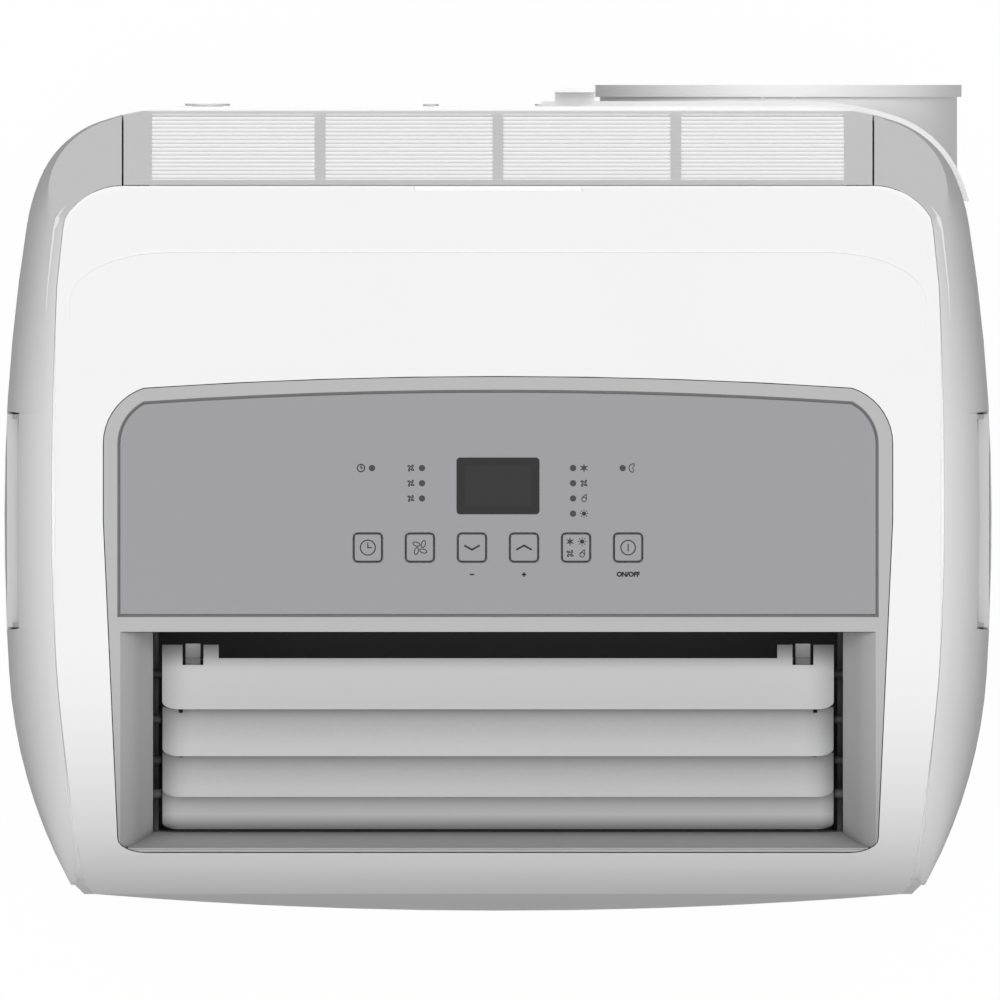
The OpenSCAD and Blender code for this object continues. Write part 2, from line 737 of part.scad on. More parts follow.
module led_lenses() {
    color("gray") for (p = LEDS) translate([p[0], led_y + p[1], panel_z - 3]) {
        cylinder(r = led_r, h = 3.2, $fn = 24);
        translate([0, 0, -1]) cylinder(r = led_r + 0.8, h = 1.6, $fn = 24);
    }
}
board_z = panel_z - 12;
module control_board() {
    color("darkgreen") {
        translate([-76, key_y - 16, board_z - 1.6]) cube([152, 68, 1.6]);
        translate([-display_w / 2, display_y - display_l / 2, board_z])
            cube([display_w, display_l, panel_z - 2.4 - board_z]);
        for (x = KEY_X) translate([x, key_y, board_z]) cylinder(r = 3, h = 4.4, $fn = 32);
    }
}
module key(i) {
    color("darkgray") {
        upright(panel_z - panel_t - 1.6, panel_z + key_rise - 0.5)
            translate([KEY_X[i], key_y]) rounded(key_w, key_w, key_r);
        upright(panel_z + key_rise - 0.5 - e, panel_z + key_rise)
            translate([KEY_X[i], key_y]) rounded(key_w - 1, key_w - 1, key_r);
        upright(panel_z - panel_t - 1.6 - e, panel_z - panel_t - seat_gap)
            translate([KEY_X[i], key_y]) rounded(key_w + 2.4, key_w + 2.4, key_r);
        translate([KEY_X[i], key_y, board_z + 4.4 + key_travel + seat_gap])
            cylinder(r = 2, h = panel_z - panel_t - board_z - 5.6 - key_travel, $fn = 32);
    }
}

// Louvres, their tie bars and motor
function louvre_point(i, k, o) = let (
    up = louvre_top(i) - louvre_low(i) + (i == 1 ? 3 * along(i) : [0, 0])
) louvre_low(i) + k * up + (4 * k * (1 - k) * 1.3 - o) * outward(i);
module louvre(i) {
    c = crank_pin(i);
    v = pivot(i);
    color("silver") {
        difference() {
            across(2 * louvre_hw) polygon(concat(
                [for (k = [0:8]) louvre_point(i, k / 8, 0)],
                [for (k = [8:-1:0]) louvre_point(i, k / 8, louvre_t)]
            ));
            for (m = [-1, 1]) louvre_slot(i, m * tie_x, tie_w + 2.4, i == 1 ? 9 : 4.8);
            if (i == 1) louvre_slot(i, 0, 250, 6);
            for (m = [-1, 1]) louvre_corner(i, m);
        }
        for (m = [-1, 1]) {
            translate([m * (louvre_hw - 1.5), 0, 0]) across(3) arm(i, v, pivot_r + 1.6);
            translate([m * (tie_x - tie_w / 2 - 2.2), 0, 0]) across(2.6) arm(i, c, crank_pin_r + 1.6);
            translate([m * (tie_x - tie_w / 2 - 1), c[0], c[1]]) rotate([0, m * 90, 0])
                cylinder(r = crank_pin_r, h = tie_w + 1);
            translate([m * louvre_hw, v[0], v[1]]) rotate([0, m * 90, 0])
                cylinder(r = pivot_r, h = i == 1 && m < 0 ? 16 : cheek_hw + cheek_t - louvre_hw);
        }
    }
}
module arm(i, p, r) {
    o = outward(i);
    face = p - louvre_low(i);
    q = p - o * (face * o);
    a = along(i) * r;
    translate(p) circle(r = r);
    polygon([p - a, q - a, q + a, p + a]);
}
module louvre_slot(i, x, w, h) {
    top = louvre_point(i, 1, 0);
    a = along(i);
    o = outward(i);
    translate([x, 0, 0]) across(w) polygon([
        top - h * a - 4 * o, top + 4 * a - 4 * o, top + 4 * a + 4 * o, top - h * a + 4 * o
    ]);
}
module louvre_corner(i, m) {
    low = louvre_low(i);
    a = along(i);
    w = 7.5;
    h = 3.5;
    translate([0, low[0], low[1]]) rotate([atan2(a[1], a[0]), 0, 0]) translate([0, 0, -5])
        linear_extrude(10) polygon(concat(
            [[m * (louvre_hw - w), -1], [m * (louvre_hw + 1), -1], [m * (louvre_hw + 1), h]],
            [for (t = [0:15:90]) [m * (louvre_hw - w + w * cos(t)), h - h * sin(t)]]
        ));
}
module tie_bars() {
    pins = [for (i = [1:louvres]) crank_pin(i)];
    tab = pins[0] + 9 * along(1);
    path = concat([tab], pins);
    color("silver") for (m = [-1, 1]) translate([m * tie_x, 0, 0]) across(tie_w - 0.4)
        difference() {
            union() {
                for (p = pins) translate(p) circle(r = crank_pin_r + 1.7);
                for (i = [0:louvres - 1]) let (v = path[i + 1] - path[i], n = [-v[1], v[0]]
                    / norm(v) * 1.3)
                    polygon([path[i] - n, path[i + 1] - n, path[i + 1] + n, path[i] + n]);
            }
            for (p = pins) translate(p) circle(r = crank_pin_r + pin_gap);
        }
}
module swing_motor() {
    v = pivot(1);
    x = cheek_hw + cheek_t + seat_gap;
    color("silver") difference() {
        translate([-x, v[0] + 1, v[1] - 5]) rotate([0, -90, 0]) cylinder(r = 10, h = 17);
        translate([-x + 1, v[0], v[1]]) rotate([0, -90, 0])
            cylinder(r = pivot_r + pin_gap, h = 15);
    }
}
module duct_profile(inset) {
    x = inset;
    intersection() {
        polygon([
            [roll_y + 3 - x, body_h], [roll_y + 3 - x, body_h - 42], [roll_y + 22 - x, 640],
            [roll_y + 22 - x, DUCT_Z + x], [front_y + 34 + x, DUCT_Z + x],
            [front_y + 34 + x, body_h]
        ]);
        union() {
            translate([roll_y, roll_z]) circle(r = cheek_in_r - 1 + x);
            translate([front_y, 0]) square([body_d, roll_z + 44]);
        }
    }
}
DUCT_Z = 592;
module outlet_duct() {
    w = 2 * (cheek_hw - 0.5);
    color("black") difference() {
        across(w) duct_profile(0);
        across(w - 4) duct_profile(2);
        across(w - 4) intersection() {
            duct_profile(2);
            translate([front_y, roll_z + 30]) square([body_d, 100]);
        }
        cold_outlet(DUCT_Z - 5, DUCT_Z + 5, 0);
    }
}

// Extrudes an [x, z] outline along Y, from y0 to y1
module along_y(y0, y1) {
    translate([0, y1, 0]) rotate([90, 0, 0]) linear_extrude(y1 - y0) children();
}
module box(lo, hi) {
    translate(lo) cube(hi - lo);
}

// Blower housings and wheels
function spiral(r0, r1) = [
    for (a = [45:-9:-180]) mix(r0, r1, (45 - a) / 225) * [cos(a), sin(a)]
];
module scroll_plan(r0, r1, reach, inset = 0) {
    offset(delta = -inset) polygon(concat(
        spiral(r0, r1), [[-r1, reach], [r0 * cos(45), reach]]
    ));
}
module scroll(r0, r1, reach, y0, y1, inlet_r) {
    t = 2;
    difference() {
        along_y(y0, y1) scroll_plan(r0, r1, reach);
        along_y(y0 + t, y1 - t) scroll_plan(r0, r1, reach + 3 * t, t);
        along_y(y1 - 2 * t, y1 + t) circle(r = inlet_r);
    }
}
module blower(r, l, y0) {
    hub = shaft_r + 6;
    along_y(y0, y0 + 2) circle(r = r);
    along_y(y0 + 2 - e, y0 + l - 2 + e) for (i = [0:blades - 1]) rotate(i * 360 / blades)
        translate([r - 6, 0]) rotate(38) square([13, 1.2], center = true);
    along_y(y0 + l - 2, y0 + l) difference() {
        circle(r = r);
        circle(r = r - 12);
    }
    along_y(y0 + 2 - e, y0 + l / 2) circle(r = hub);
}
module fan_motor(r, y0, y1) {
    difference() {
        along_y(y0, y1) circle(r = r);
        along_y(y0 - 1, y1 + 1) circle(r = shaft_r + pin_gap);
    }
}
cold_c = [25, 0, 468];
cold_y0 = front_y + 35;
cold_y1 = cold_y0 + cold_fan_l + 22;
module cold_outlet(z0, z1, grow) {
    r1 = cold_fan_r + 39;
    r0 = cold_fan_r + 6;
    upright(z0, z1) translate([cold_c[0] - r1 + 2 - grow, cold_y0 + 2 - grow])
        square([r1 + r0 * cos(45) - 4 + 2 * grow, cold_y1 - cold_y0 - 4 + 2 * grow]);
}
tray_z = 346;
cold_reach = DUCT_Z - seat_gap - cold_c[2];
module evaporator_scroll() {
    color("whitesmoke") {
        translate(cold_c) scroll(cold_fan_r + 6, cold_fan_r + 39, cold_reach,
            cold_y0, cold_y1, cold_fan_r - 14);
        difference() {
            for (x = [-45, 60]) box([cold_c[0] + x - 3, cold_y0, tray_z + 3 + seat_gap],
                [cold_c[0] + x + 3, cold_y1, cold_c[2]]);
            translate(cold_c) along_y(cold_y0 - 1, cold_y1 + 1)
                scroll_plan(cold_fan_r + 6, cold_fan_r + 39, cold_reach, 1);
        }
    }
}
module evaporator_fan_wheel() {
    color("dimgray") translate(cold_c) {
        blower(cold_fan_r, cold_fan_l, cold_y0 + 8);
        along_y(cold_y0 + 9, cold_y1 + 40) circle(r = shaft_r);
    }
}
module evaporator_fan_motor() {
    y = cold_y1 + seat_gap;
    color("silver") translate(cold_c) {
        fan_motor(40, y + 3, y + 45);
        for (a = [90, 210, 330]) rotate([0, a, 0])
            box([35, y, -6], [cold_fan_r + 2, y + 5, 6]);
    }
}
hot_c = [-75, 0, 230];
hot_y0 = 60;
hot_y1 = hot_y0 + hot_fan_l + 21;
hot_reach = 275;
module condenser_scroll() {
    color("whitesmoke") difference() {
        union() {
            translate(hot_c) rotate([0, 90, 0]) scroll(hot_fan_r + 8, hot_fan_r + 34, hot_reach,
                hot_y0, hot_y1, hot_fan_r - 12);
            along_y(hot_y0, hot_y1) translate([hot_c[0] + hot_reach - 2, hot_c[2] - 50])
                square([2, hot_fan_r + 83]);
            difference() {
                for (x = [-45, 30]) box([hot_c[0] + x - 3, hot_y0, casing_z],
                    [hot_c[0] + x + 3, hot_y1, hot_c[2]]);
                translate(hot_c) rotate([0, 90, 0]) along_y(hot_y0 - 1, hot_y1 + 1)
                    scroll_plan(hot_fan_r + 8, hot_fan_r + 34, hot_reach, 1);
            }
        }
        along_y(hot_y1 - 4, hot_y1 + 4) translate([outlet_x, outlet_z]) circle(r = duct_r);
        along_y(hot_y0 - 4, hot_y0 + 4) translate([hot_c[0], hot_c[2]]) circle(r = shaft_r + 3);
    }
}
module condenser_fan_wheel() {
    color("dimgray") translate(hot_c) {
        blower(hot_fan_r, hot_fan_l, hot_y0 + 8);
        along_y(hot_y0 - 44, hot_y0 + 9) circle(r = shaft_r);
    }
}
module condenser_fan_motor() {
    color("silver") translate(hot_c) fan_motor(44, hot_y0 - 45, hot_y0 - seat_gap);
}

// Coils: a block of fins between two end plates, with return bends on the left
module coil(w, l, t) {
    box([-w / 2 + 2, -t / 2, 0], [w / 2 - 2, t / 2, l]);
    for (m = [-1, 1]) translate([m * (w / 2 - 1), 0, l / 2])
        cube([2.04, t + 4, l], center = true);
    for (z = [l / 8:l / 4:l]) translate([-w / 2, 0, z]) rotate([0, 0, 90])
        rotate_extrude(angle = 180) translate([t / 4, 0]) circle(r = 3, $fn = 24);
}
slant_a = atan2(slant_drop, slant_run);
slant_foot = [rear_y - slant_inset, body_h - slant_drop];
module on_slant(x = 0) {
    translate([x, slant_foot[0], slant_foot[1]]) rotate([90 - slant_a, 0, 0]) children();
}
module evaporator_coil() {
    color("lightsteelblue") {
        on_slant() translate([0, -54, -30]) coil(324, 90, 26);
        for (m = [-1, 1]) translate([m * 136, 0, 0]) across(2) polygon([
            [rear_y - wall - seat_gap, slant_foot[1] - 60], [slant_foot[0] - 58, slant_foot[1] - 36],
            [slant_foot[0] - 44, slant_foot[1] - 24], [rear_y - wall - seat_gap, slant_foot[1] - 40]
        ]);
    }
}
coil_x = -low_grille_left;
module condenser_coil() {
    color("lightsteelblue") {
        translate([coil_x, hot_y1 + 21, 62]) coil(low_grille_w - 2, 262, 28);
        for (m = [-1, 1]) translate([coil_x + m * (low_grille_w / 2 - 2), hot_y1 + 21, 56])
            cube([2, 32, 12], center = true);
    }
}

// Partition between the hot and the cold half, which catches the condensate
pipe_at = [180, 44];
module partition_tray() {
    color("whitesmoke") difference() {
        upright(tray_z, tray_z + 11) intersection() {
            side_plan(wall + seat_gap);
            translate([-body_w, side_end_y + 16]) square([2 * body_w, body_d]);
        }
        upright(tray_z + 3, tray_z + 12) intersection() {
            side_plan(wall + 2.3);
            translate([-body_w, side_end_y + 18]) square([2 * body_w, body_d]);
        }
        translate([pipe_at[0], pipe_at[1], tray_z - 1]) cylinder(r = 6, h = 14);
    }
}

// Compressor and refrigerant circuit
comp_at = [70, -60];
function compressor_foot(a, z = 0) = [comp_at[0] + 70 * cos(a), comp_at[1] + 70 * sin(a), z];
comp_z = base_z + 20;
module vessel(r, h, dome) {
    rotate_extrude() polygon(concat(
        [[0, 0]], [for (a = [-80:10:0]) [r * cos(a), dome + dome * sin(a)]],
        [for (a = [0:10:80]) [r * cos(a), h - dome + dome * sin(a)]], [[0, h]]
    ));
}
module compressor() {
    color("black") {
        translate([comp_at[0], comp_at[1], comp_z]) vessel(compressor_r, compressor_h, 22);
        upright(comp_z, comp_z + 3) difference() {
            for (a = [90:120:330]) {
                translate([comp_at[0], comp_at[1]]) rotate(a) translate([20, -9]) square([50, 18]);
                translate(compressor_foot(a)) circle(r = 11);
            }
            for (a = [90:120:330]) translate(compressor_foot(a)) circle(r = 3.4);
        }
        translate([comp_at[0] - 20, comp_at[1], comp_z + compressor_h - 8])
            cylinder(r = 12, h = 14);
    }
}
module compressor_feet() {
    color("dimgray") for (a = [90:120:330]) {
        translate(compressor_foot(a, base_z + 12 + seat_gap)) cylinder(r = 8, h = 7.4);
        translate(compressor_foot(a, base_z + 5)) cylinder(r = 2.8, h = 22);
        translate(compressor_foot(a, comp_z + 3 + seat_gap)) cylinder(r = 5, h = 4);
    }
}
acc_at = [157, -60];
module accumulator() {
    color("black") {
        translate([acc_at[0], acc_at[1], 110]) vessel(23, 140, 12);
        box([comp_at[0] + compressor_r + seat_gap, acc_at[1] - 5, 170],
            [acc_at[0] - 20, acc_at[1] + 5, 190]);
    }
}
module pipe(points, r) {
    for (i = [0:len(points) - 2]) let (
        v = points[i + 1] - points[i],
        l = norm(v)
    ) translate(points[i]) rotate([0, acos(v[2] / l), atan2(v[1], v[0])]) cylinder(r = r, h = l,
        $fn = 24);
    for (i = [1:1:len(points) - 2]) translate(points[i]) sphere(r = 1.15 * r, $fn = 24);
}
module refrigerant_pipes() {
    r = 4;
    x = coil_x + low_grille_w / 2 - 20;
    z = 62 + 262 + seat_gap;
    top = comp_z + compressor_h;
    y = hot_y1 + 21;
    color("peru") {
        pipe([
            [comp_at[0] + 15, comp_at[1], top], [comp_at[0] + 15, comp_at[1], 335],
            [x, comp_at[1], 335], [x, y, 335], [x, y, z]
        ], r);
        pipe([
            [acc_at[0], acc_at[1], 110 + 140 + seat_gap], [acc_at[0], acc_at[1], 318],
            [pipe_at[0], acc_at[1], 318], [pipe_at[0], pipe_at[1], 318],
            [pipe_at[0], pipe_at[1], 604], [pipe_at[0], 132, 604],
            [pipe_at[0], 132, 624], [162.4, 132, 624]
        ], r);
        pipe([
            [acc_at[0], acc_at[1], 110 - seat_gap], [acc_at[0], acc_at[1], 92],
            [comp_at[0] + compressor_r + seat_gap, acc_at[1], 92]
        ], r);
    }
}
module electrical_box() {
    color("gainsboro") {
        box([-190, -118, casing_z], [-112, -60, 200]);
        box([-192, -120, 186], [-110, -58, 190]);
    }
}
module run_capacitor() {
    color("silver") translate([-150, -89, 200 + seat_gap]) {
        cylinder(r = 20, h = 60);
        for (x = [-6, 6]) translate([x - 1, -3, 59]) cube([2, 6, 9]);
    }
}
splash_at = [36, hot_y1 + 20, 92];
module splash_wheel() {
    color("white") translate(splash_at) rotate([0, 90, 0]) {
        cylinder(r = 8, h = 8, center = true);
        cylinder(r = 2, h = 16);
        for (a = [0:45:315]) rotate([0, 0, a]) translate([6, -1, -4]) cube([14, 2, 8]);
    }
}
module splash_motor() {
    color("silver") {
        translate(splash_at + [5, 0, 0]) rotate([0, 90, 0]) difference() {
            cylinder(r = 15, h = 26);
            translate([0, 0, -1]) cylinder(r = 2 + pin_gap, h = 14);
        }
        box([splash_at[0] + 14, splash_at[1] - 5, casing_z], [splash_at[0] + 24,
            splash_at[1] + 5, splash_at[2] - 12]);
    }
}

// Hose outlet: the pocket in the rear right corner, its spigot and the adaptor
duct_r = 62;
pocket_y = rear_y - pocket_d;
module pocket_plan(grow, back) {
    intersection() {
        side_plan(0.2 - grow);
        translate([pocket_x - grow, back]) square([body_w, body_d]);
    }
}
module pocket_hull(gap) {
    t = wall + gap;
    upright(outlet_z - pocket_hh - t, outlet_z + pocket_hh + t)
        translate([pocket_x - t, pocket_y - t]) square([body_w, body_d]);
}
module exhaust_housing() {
    color("white") difference() {
        union() {
            difference() {
                upright(outlet_z - pocket_hh - wall, outlet_z + pocket_hh + wall)
                    pocket_plan(wall, pocket_y - wall);
                upright(outlet_z - pocket_hh, outlet_z + pocket_hh)
                    translate([pocket_x, pocket_y]) square([body_w, body_d]);
            }
            along_y(pocket_y - e, pocket_y + spigot_l) translate([outlet_x, outlet_z])
                circle(r = adaptor_r - tube_wall - spigot_gap);
            along_y(hot_y1 + seat_gap, pocket_y - wall + e) translate([outlet_x, outlet_z])
                circle(r = duct_r + 3);
        }
        along_y(pocket_y - 4 * wall, pocket_y + wall) translate([outlet_x, outlet_z])
            circle(r = duct_r);
        along_y(pocket_y + wall, pocket_y + spigot_l + 1) translate([outlet_x, outlet_z])
            circle(r = adaptor_r - 2 * tube_wall - spigot_gap);
    }
}
module exhaust_adaptor() {
    color("white") difference() {
        union() {
            along_y(pocket_y + 0.6, lip_y) translate([outlet_x, outlet_z]) circle(r = adaptor_r);
            along_y(lip_y - lip_l, lip_y) translate([outlet_x, outlet_z])
                circle(r = adaptor_lip_r);
        }
        along_y(pocket_y, lip_y + 1) translate([outlet_x, outlet_z])
            circle(r = adaptor_r - tube_wall);
        for (m = [-1, 1]) box([outlet_x + m * 7 - 0.7, lip_y - lip_l - 12, outlet_z],
            [outlet_x + m * 7 + 0.7, lip_y - lip_l, outlet_z + adaptor_r + 2]);
    }
}

// Small fittings on the rear wall
screw_r = 1.6;
screw_z = base_z + 14;
SCREWS = [[-130, screw_z], [-30, screw_z], [20, screw_z], [120, screw_z]];
HOOKS = [[34.4, 470], [34.4, 392]];
gland_x = -130;
gland_z = 88;
gland_r = 7;
drain_r = 7;
drain_x = 70;
module screw_hole(s, r) {
    translate([s[0], rear_y + 1, s[1]]) rotate([90, 0, 0]) cylinder(r = r, h = 12);
}
module casing_screws() {
    color("dimgray") for (s = SCREWS) translate([s[0], rear_y + 0.1, s[1]]) {
        rotate([-90, 0, 0]) cylinder(r = 3.4, h = 1);
        rotate([90, 0, 0]) cylinder(r = screw_r, h = 7);
    }
}
module drain_hole(r) {
    translate([drain_x, rear_y + 1, base_z + 13]) rotate([90, 0, 0]) cylinder(r = r, h = 8);
}
module drain_cap() {
    color("dimgray") translate([drain_x, rear_y, base_z + 13]) rotate([90, 0, 0]) difference() {
        union() {
            translate([0, 0, -4]) cylinder(r = drain_r + 3, h = 3.7);
            translate([0, 0, -1]) cylinder(r = drain_r - 0.3, h = 11);
        }
        translate([0, 0, 2]) cylinder(r = drain_r - 3, h = 12);
    }
}
module cord_inlet() {
    color("dimgray") translate([gland_x, rear_y, gland_z]) rotate([90, 0, 0]) difference() {
        union() {
            translate([0, 0, -1.2]) cylinder(r = gland_r + 3, h = 1);
            translate([0, 0, -1]) cylinder(r = gland_r, h = 15);
        }
        translate([0, 0, -2]) cylinder(r = 3.6, h = 20);
    }
}
module cord_hooks() {
    w = 17.9;
    reach = 8.2;
    lip = 1.9;
    color("white") for (i = [0, 1]) translate([HOOKS[i][0], rear_y, HOOKS[i][1]])
        mirror([0, 0, i]) {
            translate([-w / 2, 0.1, -2]) cube([w, reach - 0.1, 4]);
            translate([-w / 2, reach - lip, -2]) cube([w, lip, 18]);
            translate([0, 1, 0]) rotate([90, 0, 0]) cylinder(r = screw_r, h = 8);
        }
}

// Handle recesses in the side walls, under the upper lip that the shoulders make
handle_t = 2;
handle_top = skin_z(side_station(widest_y), lip_d) - 2.6;
handle_foot = handle_top - handle_h;
module handle_cup() {
    x = body_w / 2;
    z = handle_foot;
    back = x - 5 - handle_d;
    t = handle_t;
    y0 = handle_y0 + 0.8;
    y1 = handle_y1 - 0.8;
    intersection() {
        union() {
            along_y(y0, y1) polygon([
                [x, split_z], [x, z - 3.4], [x - 1.2, z - 0.9], [x - 3.6, z], [x - 6, z],
                [x - 9, z - 3], [back, z - 3], [back, handle_top], [x - 9.4, handle_top],
                [x - 9.4, handle_top + t], [back - t, handle_top + t], [back - t, z - 3 - t],
                [x - 9.6, z - 3 - t], [x - 6.4, z - t], [x - 4.4, z - t], [x - 2.6, z - 4.4],
                [x - 2.6, split_z]
            ]);
            for (y = [y0, y1 - t]) along_y(y, y + t) polygon([
                [x - 3.6, z - 5], [x - 3.6, body_h - shoulder_drop - t],
                [x - 8, handle_top - 1.6], [x - 9.3, handle_top + t - e],
                [back - t + e, handle_top + t - e], [back - t + e, z - 3 - t + e],
                [x - 9.6, z - 3 - t + e]
            ]);
        }
        upright(0, body_h) side_plan(0.3);
    }
}
module handle_cup_right() {
    color("white") handle_cup();
}
module handle_cup_left() {
    color("white") mirror([1, 0, 0]) handle_cup();
}

// Rear grilles with their filters
grille_l = norm([slant_run, slant_drop]);
module slant(x0, x1, u0, u1, d0, d1) {
    on_slant() box([x0, -d1, u0], [x1, -d0, u1]);
}
module upper_grille() {
    x = cover_edge_hw - seam_gap;
    pitch = (grille_l - 6.7) / slats;
    frame_t = 2.2;
    foot = slant_foot + 0.3 * [-cos(slant_a), sin(slant_a)];
    color("silver") {
        difference() {
            intersection() {
                across(2 * x) polygon([
                    foot, [cover_edge_y, body_h - 0.3],
                    [cover_edge_y, body_h - 0.3 - frame_t / cos(slant_a)],
                    foot - [frame_t / sin(slant_a), 0]
                ]);
                upright(roll_z, body_h) side_plan(0.3);
            }
            for (m = [-1, 1], w = [[mullion / 2, 77.3], [77.3 + mullion, window_hw]])
                slant(min(m * w[0], m * w[1]), max(m * w[0], m * w[1]), 2.5, grille_l - 4.2, -1, 3);
        }
        for (m = [-1, 1]) slant(m * (x - 1) - 1, m * (x - 1) + 1, 4.5, grille_l - 9, 2, 9);
        slant(-x + 6, x - 6, 1.5, 3, 2, 8);
    }
    color("white") on_slant() for (i = [0:slats - 1])
        translate([0, 0, 2.5 + (i + 0.5) * pitch]) rotate([slant_a - 90, 0, 0])
            box([-window_hw - 1, -slat_d, -slat_t / 2], [window_hw + 1, -0.5, slat_t / 2]);
}
module upper_filter() {
    color("dimgray") slant(-160, 160, 3.3, grille_l - 9, slat_d + seat_gap, slat_d + 3.4);
}
module low_grille_cut(gap) {
    w = low_grille_w / 2 + gap;
    box([coil_x - w, rear_y - 2 * wall, low_grille_z - gap],
        [coil_x + w, rear_y + 1, low_grille_z + low_grille_h + gap]);
}
module lower_grille() {
    w = low_grille_w / 2;
    frame = 8;
    pitch = (low_grille_h - 2 * frame) / low_slats;
    color("white") translate([coil_x, 0, low_grille_z]) {
        along_y(rear_y - wall, rear_y) difference() {
            translate([-w, 0]) square([2 * w, low_grille_h]);
            for (x = [-w + frame, 2]) translate([x, frame])
                square([w - frame - 2, low_grille_h - 2 * frame]);
        }
        for (i = [0:low_slats - 1]) translate([0, 0, frame + (i + 0.5) * pitch]) across(2 * w - 4)
            polygon([
                [rear_y - 0.3, -2.2], [rear_y - 0.3, -1], [rear_y - 4.6, 2], [rear_y - 4.6, 0.8]
            ]);
    }
}
module lower_filter() {
    w = low_grille_w / 2;
    color("dimgray") box([coil_x - w + 1, rear_y - wall - 5.6, low_grille_z + 2],
        [coil_x + w - 1, rear_y - wall - 2.4, low_grille_z + low_grille_h - 2]);
}

// Casters
CASTERS = [
    [-caster_x, front_y + caster_front], [caster_x, front_y + caster_front],
    [-caster_x, rear_y - caster_rear], [caster_x, rear_y - caster_rear]
];
axle_r = 2.5;
module caster_fork(i) {
    c = CASTERS[i];
    y = c[1] + caster_trail;
    top = base_z - 4;
    cheek_x = wheel_w / 2 + 0.8;
    color("dimgray") {
        translate([c[0], c[1], top - 4]) cylinder(r = 11, h = 4);
        translate([c[0], c[1], top - e]) cylinder(r = stem_r, h = 18);
        for (m = [-1, 1]) translate([c[0] + m * (cheek_x + 1), 0, 0]) across(2) {
            polygon([
                [c[1] - 7, top - 3], [c[1] + 9, top - 3], [y + 6, wheel_r], [y - 6, wheel_r]
            ]);
            translate([y, wheel_r]) circle(r = 6);
        }
        translate([c[0] - cheek_x - 2, c[1] - 7, top - 4])
            cube([2 * cheek_x + 4, 16, 3.5]);
        translate([c[0], y, wheel_r]) rotate([0, 90, 0])
            cylinder(r = axle_r, h = 2 * cheek_x + 4, center = true);
    }
}
module caster_wheel(i) {
    c = CASTERS[i];
    color("gray") translate([c[0], c[1] + caster_trail, wheel_r]) rotate([0, 90, 0])
        rotate_extrude() polygon([
            [axle_r + pin_gap, -wheel_w / 2], [6, -wheel_w / 2], [8, -wheel_w / 2 + 2],
            [wheel_r - 4, -wheel_w / 2 + 2], [wheel_r - 3, -wheel_w / 2], [wheel_r - 1, -wheel_w / 2],
            [wheel_r, -wheel_w / 2 + 1], [wheel_r, wheel_w / 2 - 1], [wheel_r - 1, wheel_w / 2],
            [wheel_r - 3, wheel_w / 2], [wheel_r - 4, wheel_w / 2 - 2], [8, wheel_w / 2 - 2],
            [6, wheel_w / 2], [axle_r + pin_gap, wheel_w / 2]
        ]);
}

base_tray();
front_casing();
rear_casing();
shoulder_left();
shoulder_right();
outlet_bezel();
control_panel();
display_window();
led_lenses();
control_board();
outlet_duct();
swing_motor();
evaporator_coil();
evaporator_scroll();
evaporator_fan_motor();
evaporator_fan_wheel();
partition_tray();
condenser_coil();
condenser_scroll();
condenser_fan_motor();
condenser_fan_wheel();
compressor();
compressor_feet();
accumulator();
refrigerant_pipes();
electrical_box();
run_capacitor();
splash_motor();
splash_wheel();
exhaust_housing();
exhaust_adaptor();
cord_inlet();
cord_hooks();
casing_screws();
handle_cup_left();
handle_cup_right();
upper_grille();
upper_filter();
lower_grille();
lower_filter();
drain_cap();
tie_bars();
louvre(1);  // louvre_1
louvre(2);  // louvre_2
louvre(3);  // louvre_3
louvre(4);  // louvre_4
key(0);  // key_timer
key(1);  // key_fan_speed
key(2);  // key_down
key(3);  // key_up
key(4);  // key_mode
key(5);  // key_power
caster_fork(0);  // caster_fork_front_left
caster_fork(1);  // caster_fork_front_right
caster_fork(2);  // caster_fork_rear_left
caster_fork(3);  // caster_fork_rear_right
caster_wheel(0);  // caster_wheel_front_left
caster_wheel(1);  // caster_wheel_front_right
caster_wheel(2);  // caster_wheel_rear_left
caster_wheel(3);  // caster_wheel_rear_right
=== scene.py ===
import math

import bmesh
import bpy
from mathutils import Matrix, Vector


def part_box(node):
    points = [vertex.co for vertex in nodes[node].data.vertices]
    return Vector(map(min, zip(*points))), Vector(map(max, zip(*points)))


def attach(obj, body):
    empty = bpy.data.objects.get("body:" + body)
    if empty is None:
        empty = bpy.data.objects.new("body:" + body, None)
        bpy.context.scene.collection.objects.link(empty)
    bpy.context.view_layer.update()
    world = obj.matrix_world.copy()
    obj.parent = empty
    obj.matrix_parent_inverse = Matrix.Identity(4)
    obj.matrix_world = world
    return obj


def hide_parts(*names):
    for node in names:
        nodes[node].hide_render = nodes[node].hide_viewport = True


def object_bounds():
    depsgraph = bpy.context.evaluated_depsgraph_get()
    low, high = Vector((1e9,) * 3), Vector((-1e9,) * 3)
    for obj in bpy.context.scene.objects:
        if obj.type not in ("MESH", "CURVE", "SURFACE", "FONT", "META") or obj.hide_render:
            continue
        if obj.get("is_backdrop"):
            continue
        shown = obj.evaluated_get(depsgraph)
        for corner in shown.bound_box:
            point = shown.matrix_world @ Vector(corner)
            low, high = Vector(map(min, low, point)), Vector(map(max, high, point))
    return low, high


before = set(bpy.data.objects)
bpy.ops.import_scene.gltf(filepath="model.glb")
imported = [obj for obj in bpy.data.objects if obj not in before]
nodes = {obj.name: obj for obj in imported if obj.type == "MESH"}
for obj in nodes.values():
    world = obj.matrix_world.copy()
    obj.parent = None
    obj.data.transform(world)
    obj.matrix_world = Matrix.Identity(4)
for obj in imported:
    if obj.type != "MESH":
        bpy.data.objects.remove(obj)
cad_low, cad_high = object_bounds()

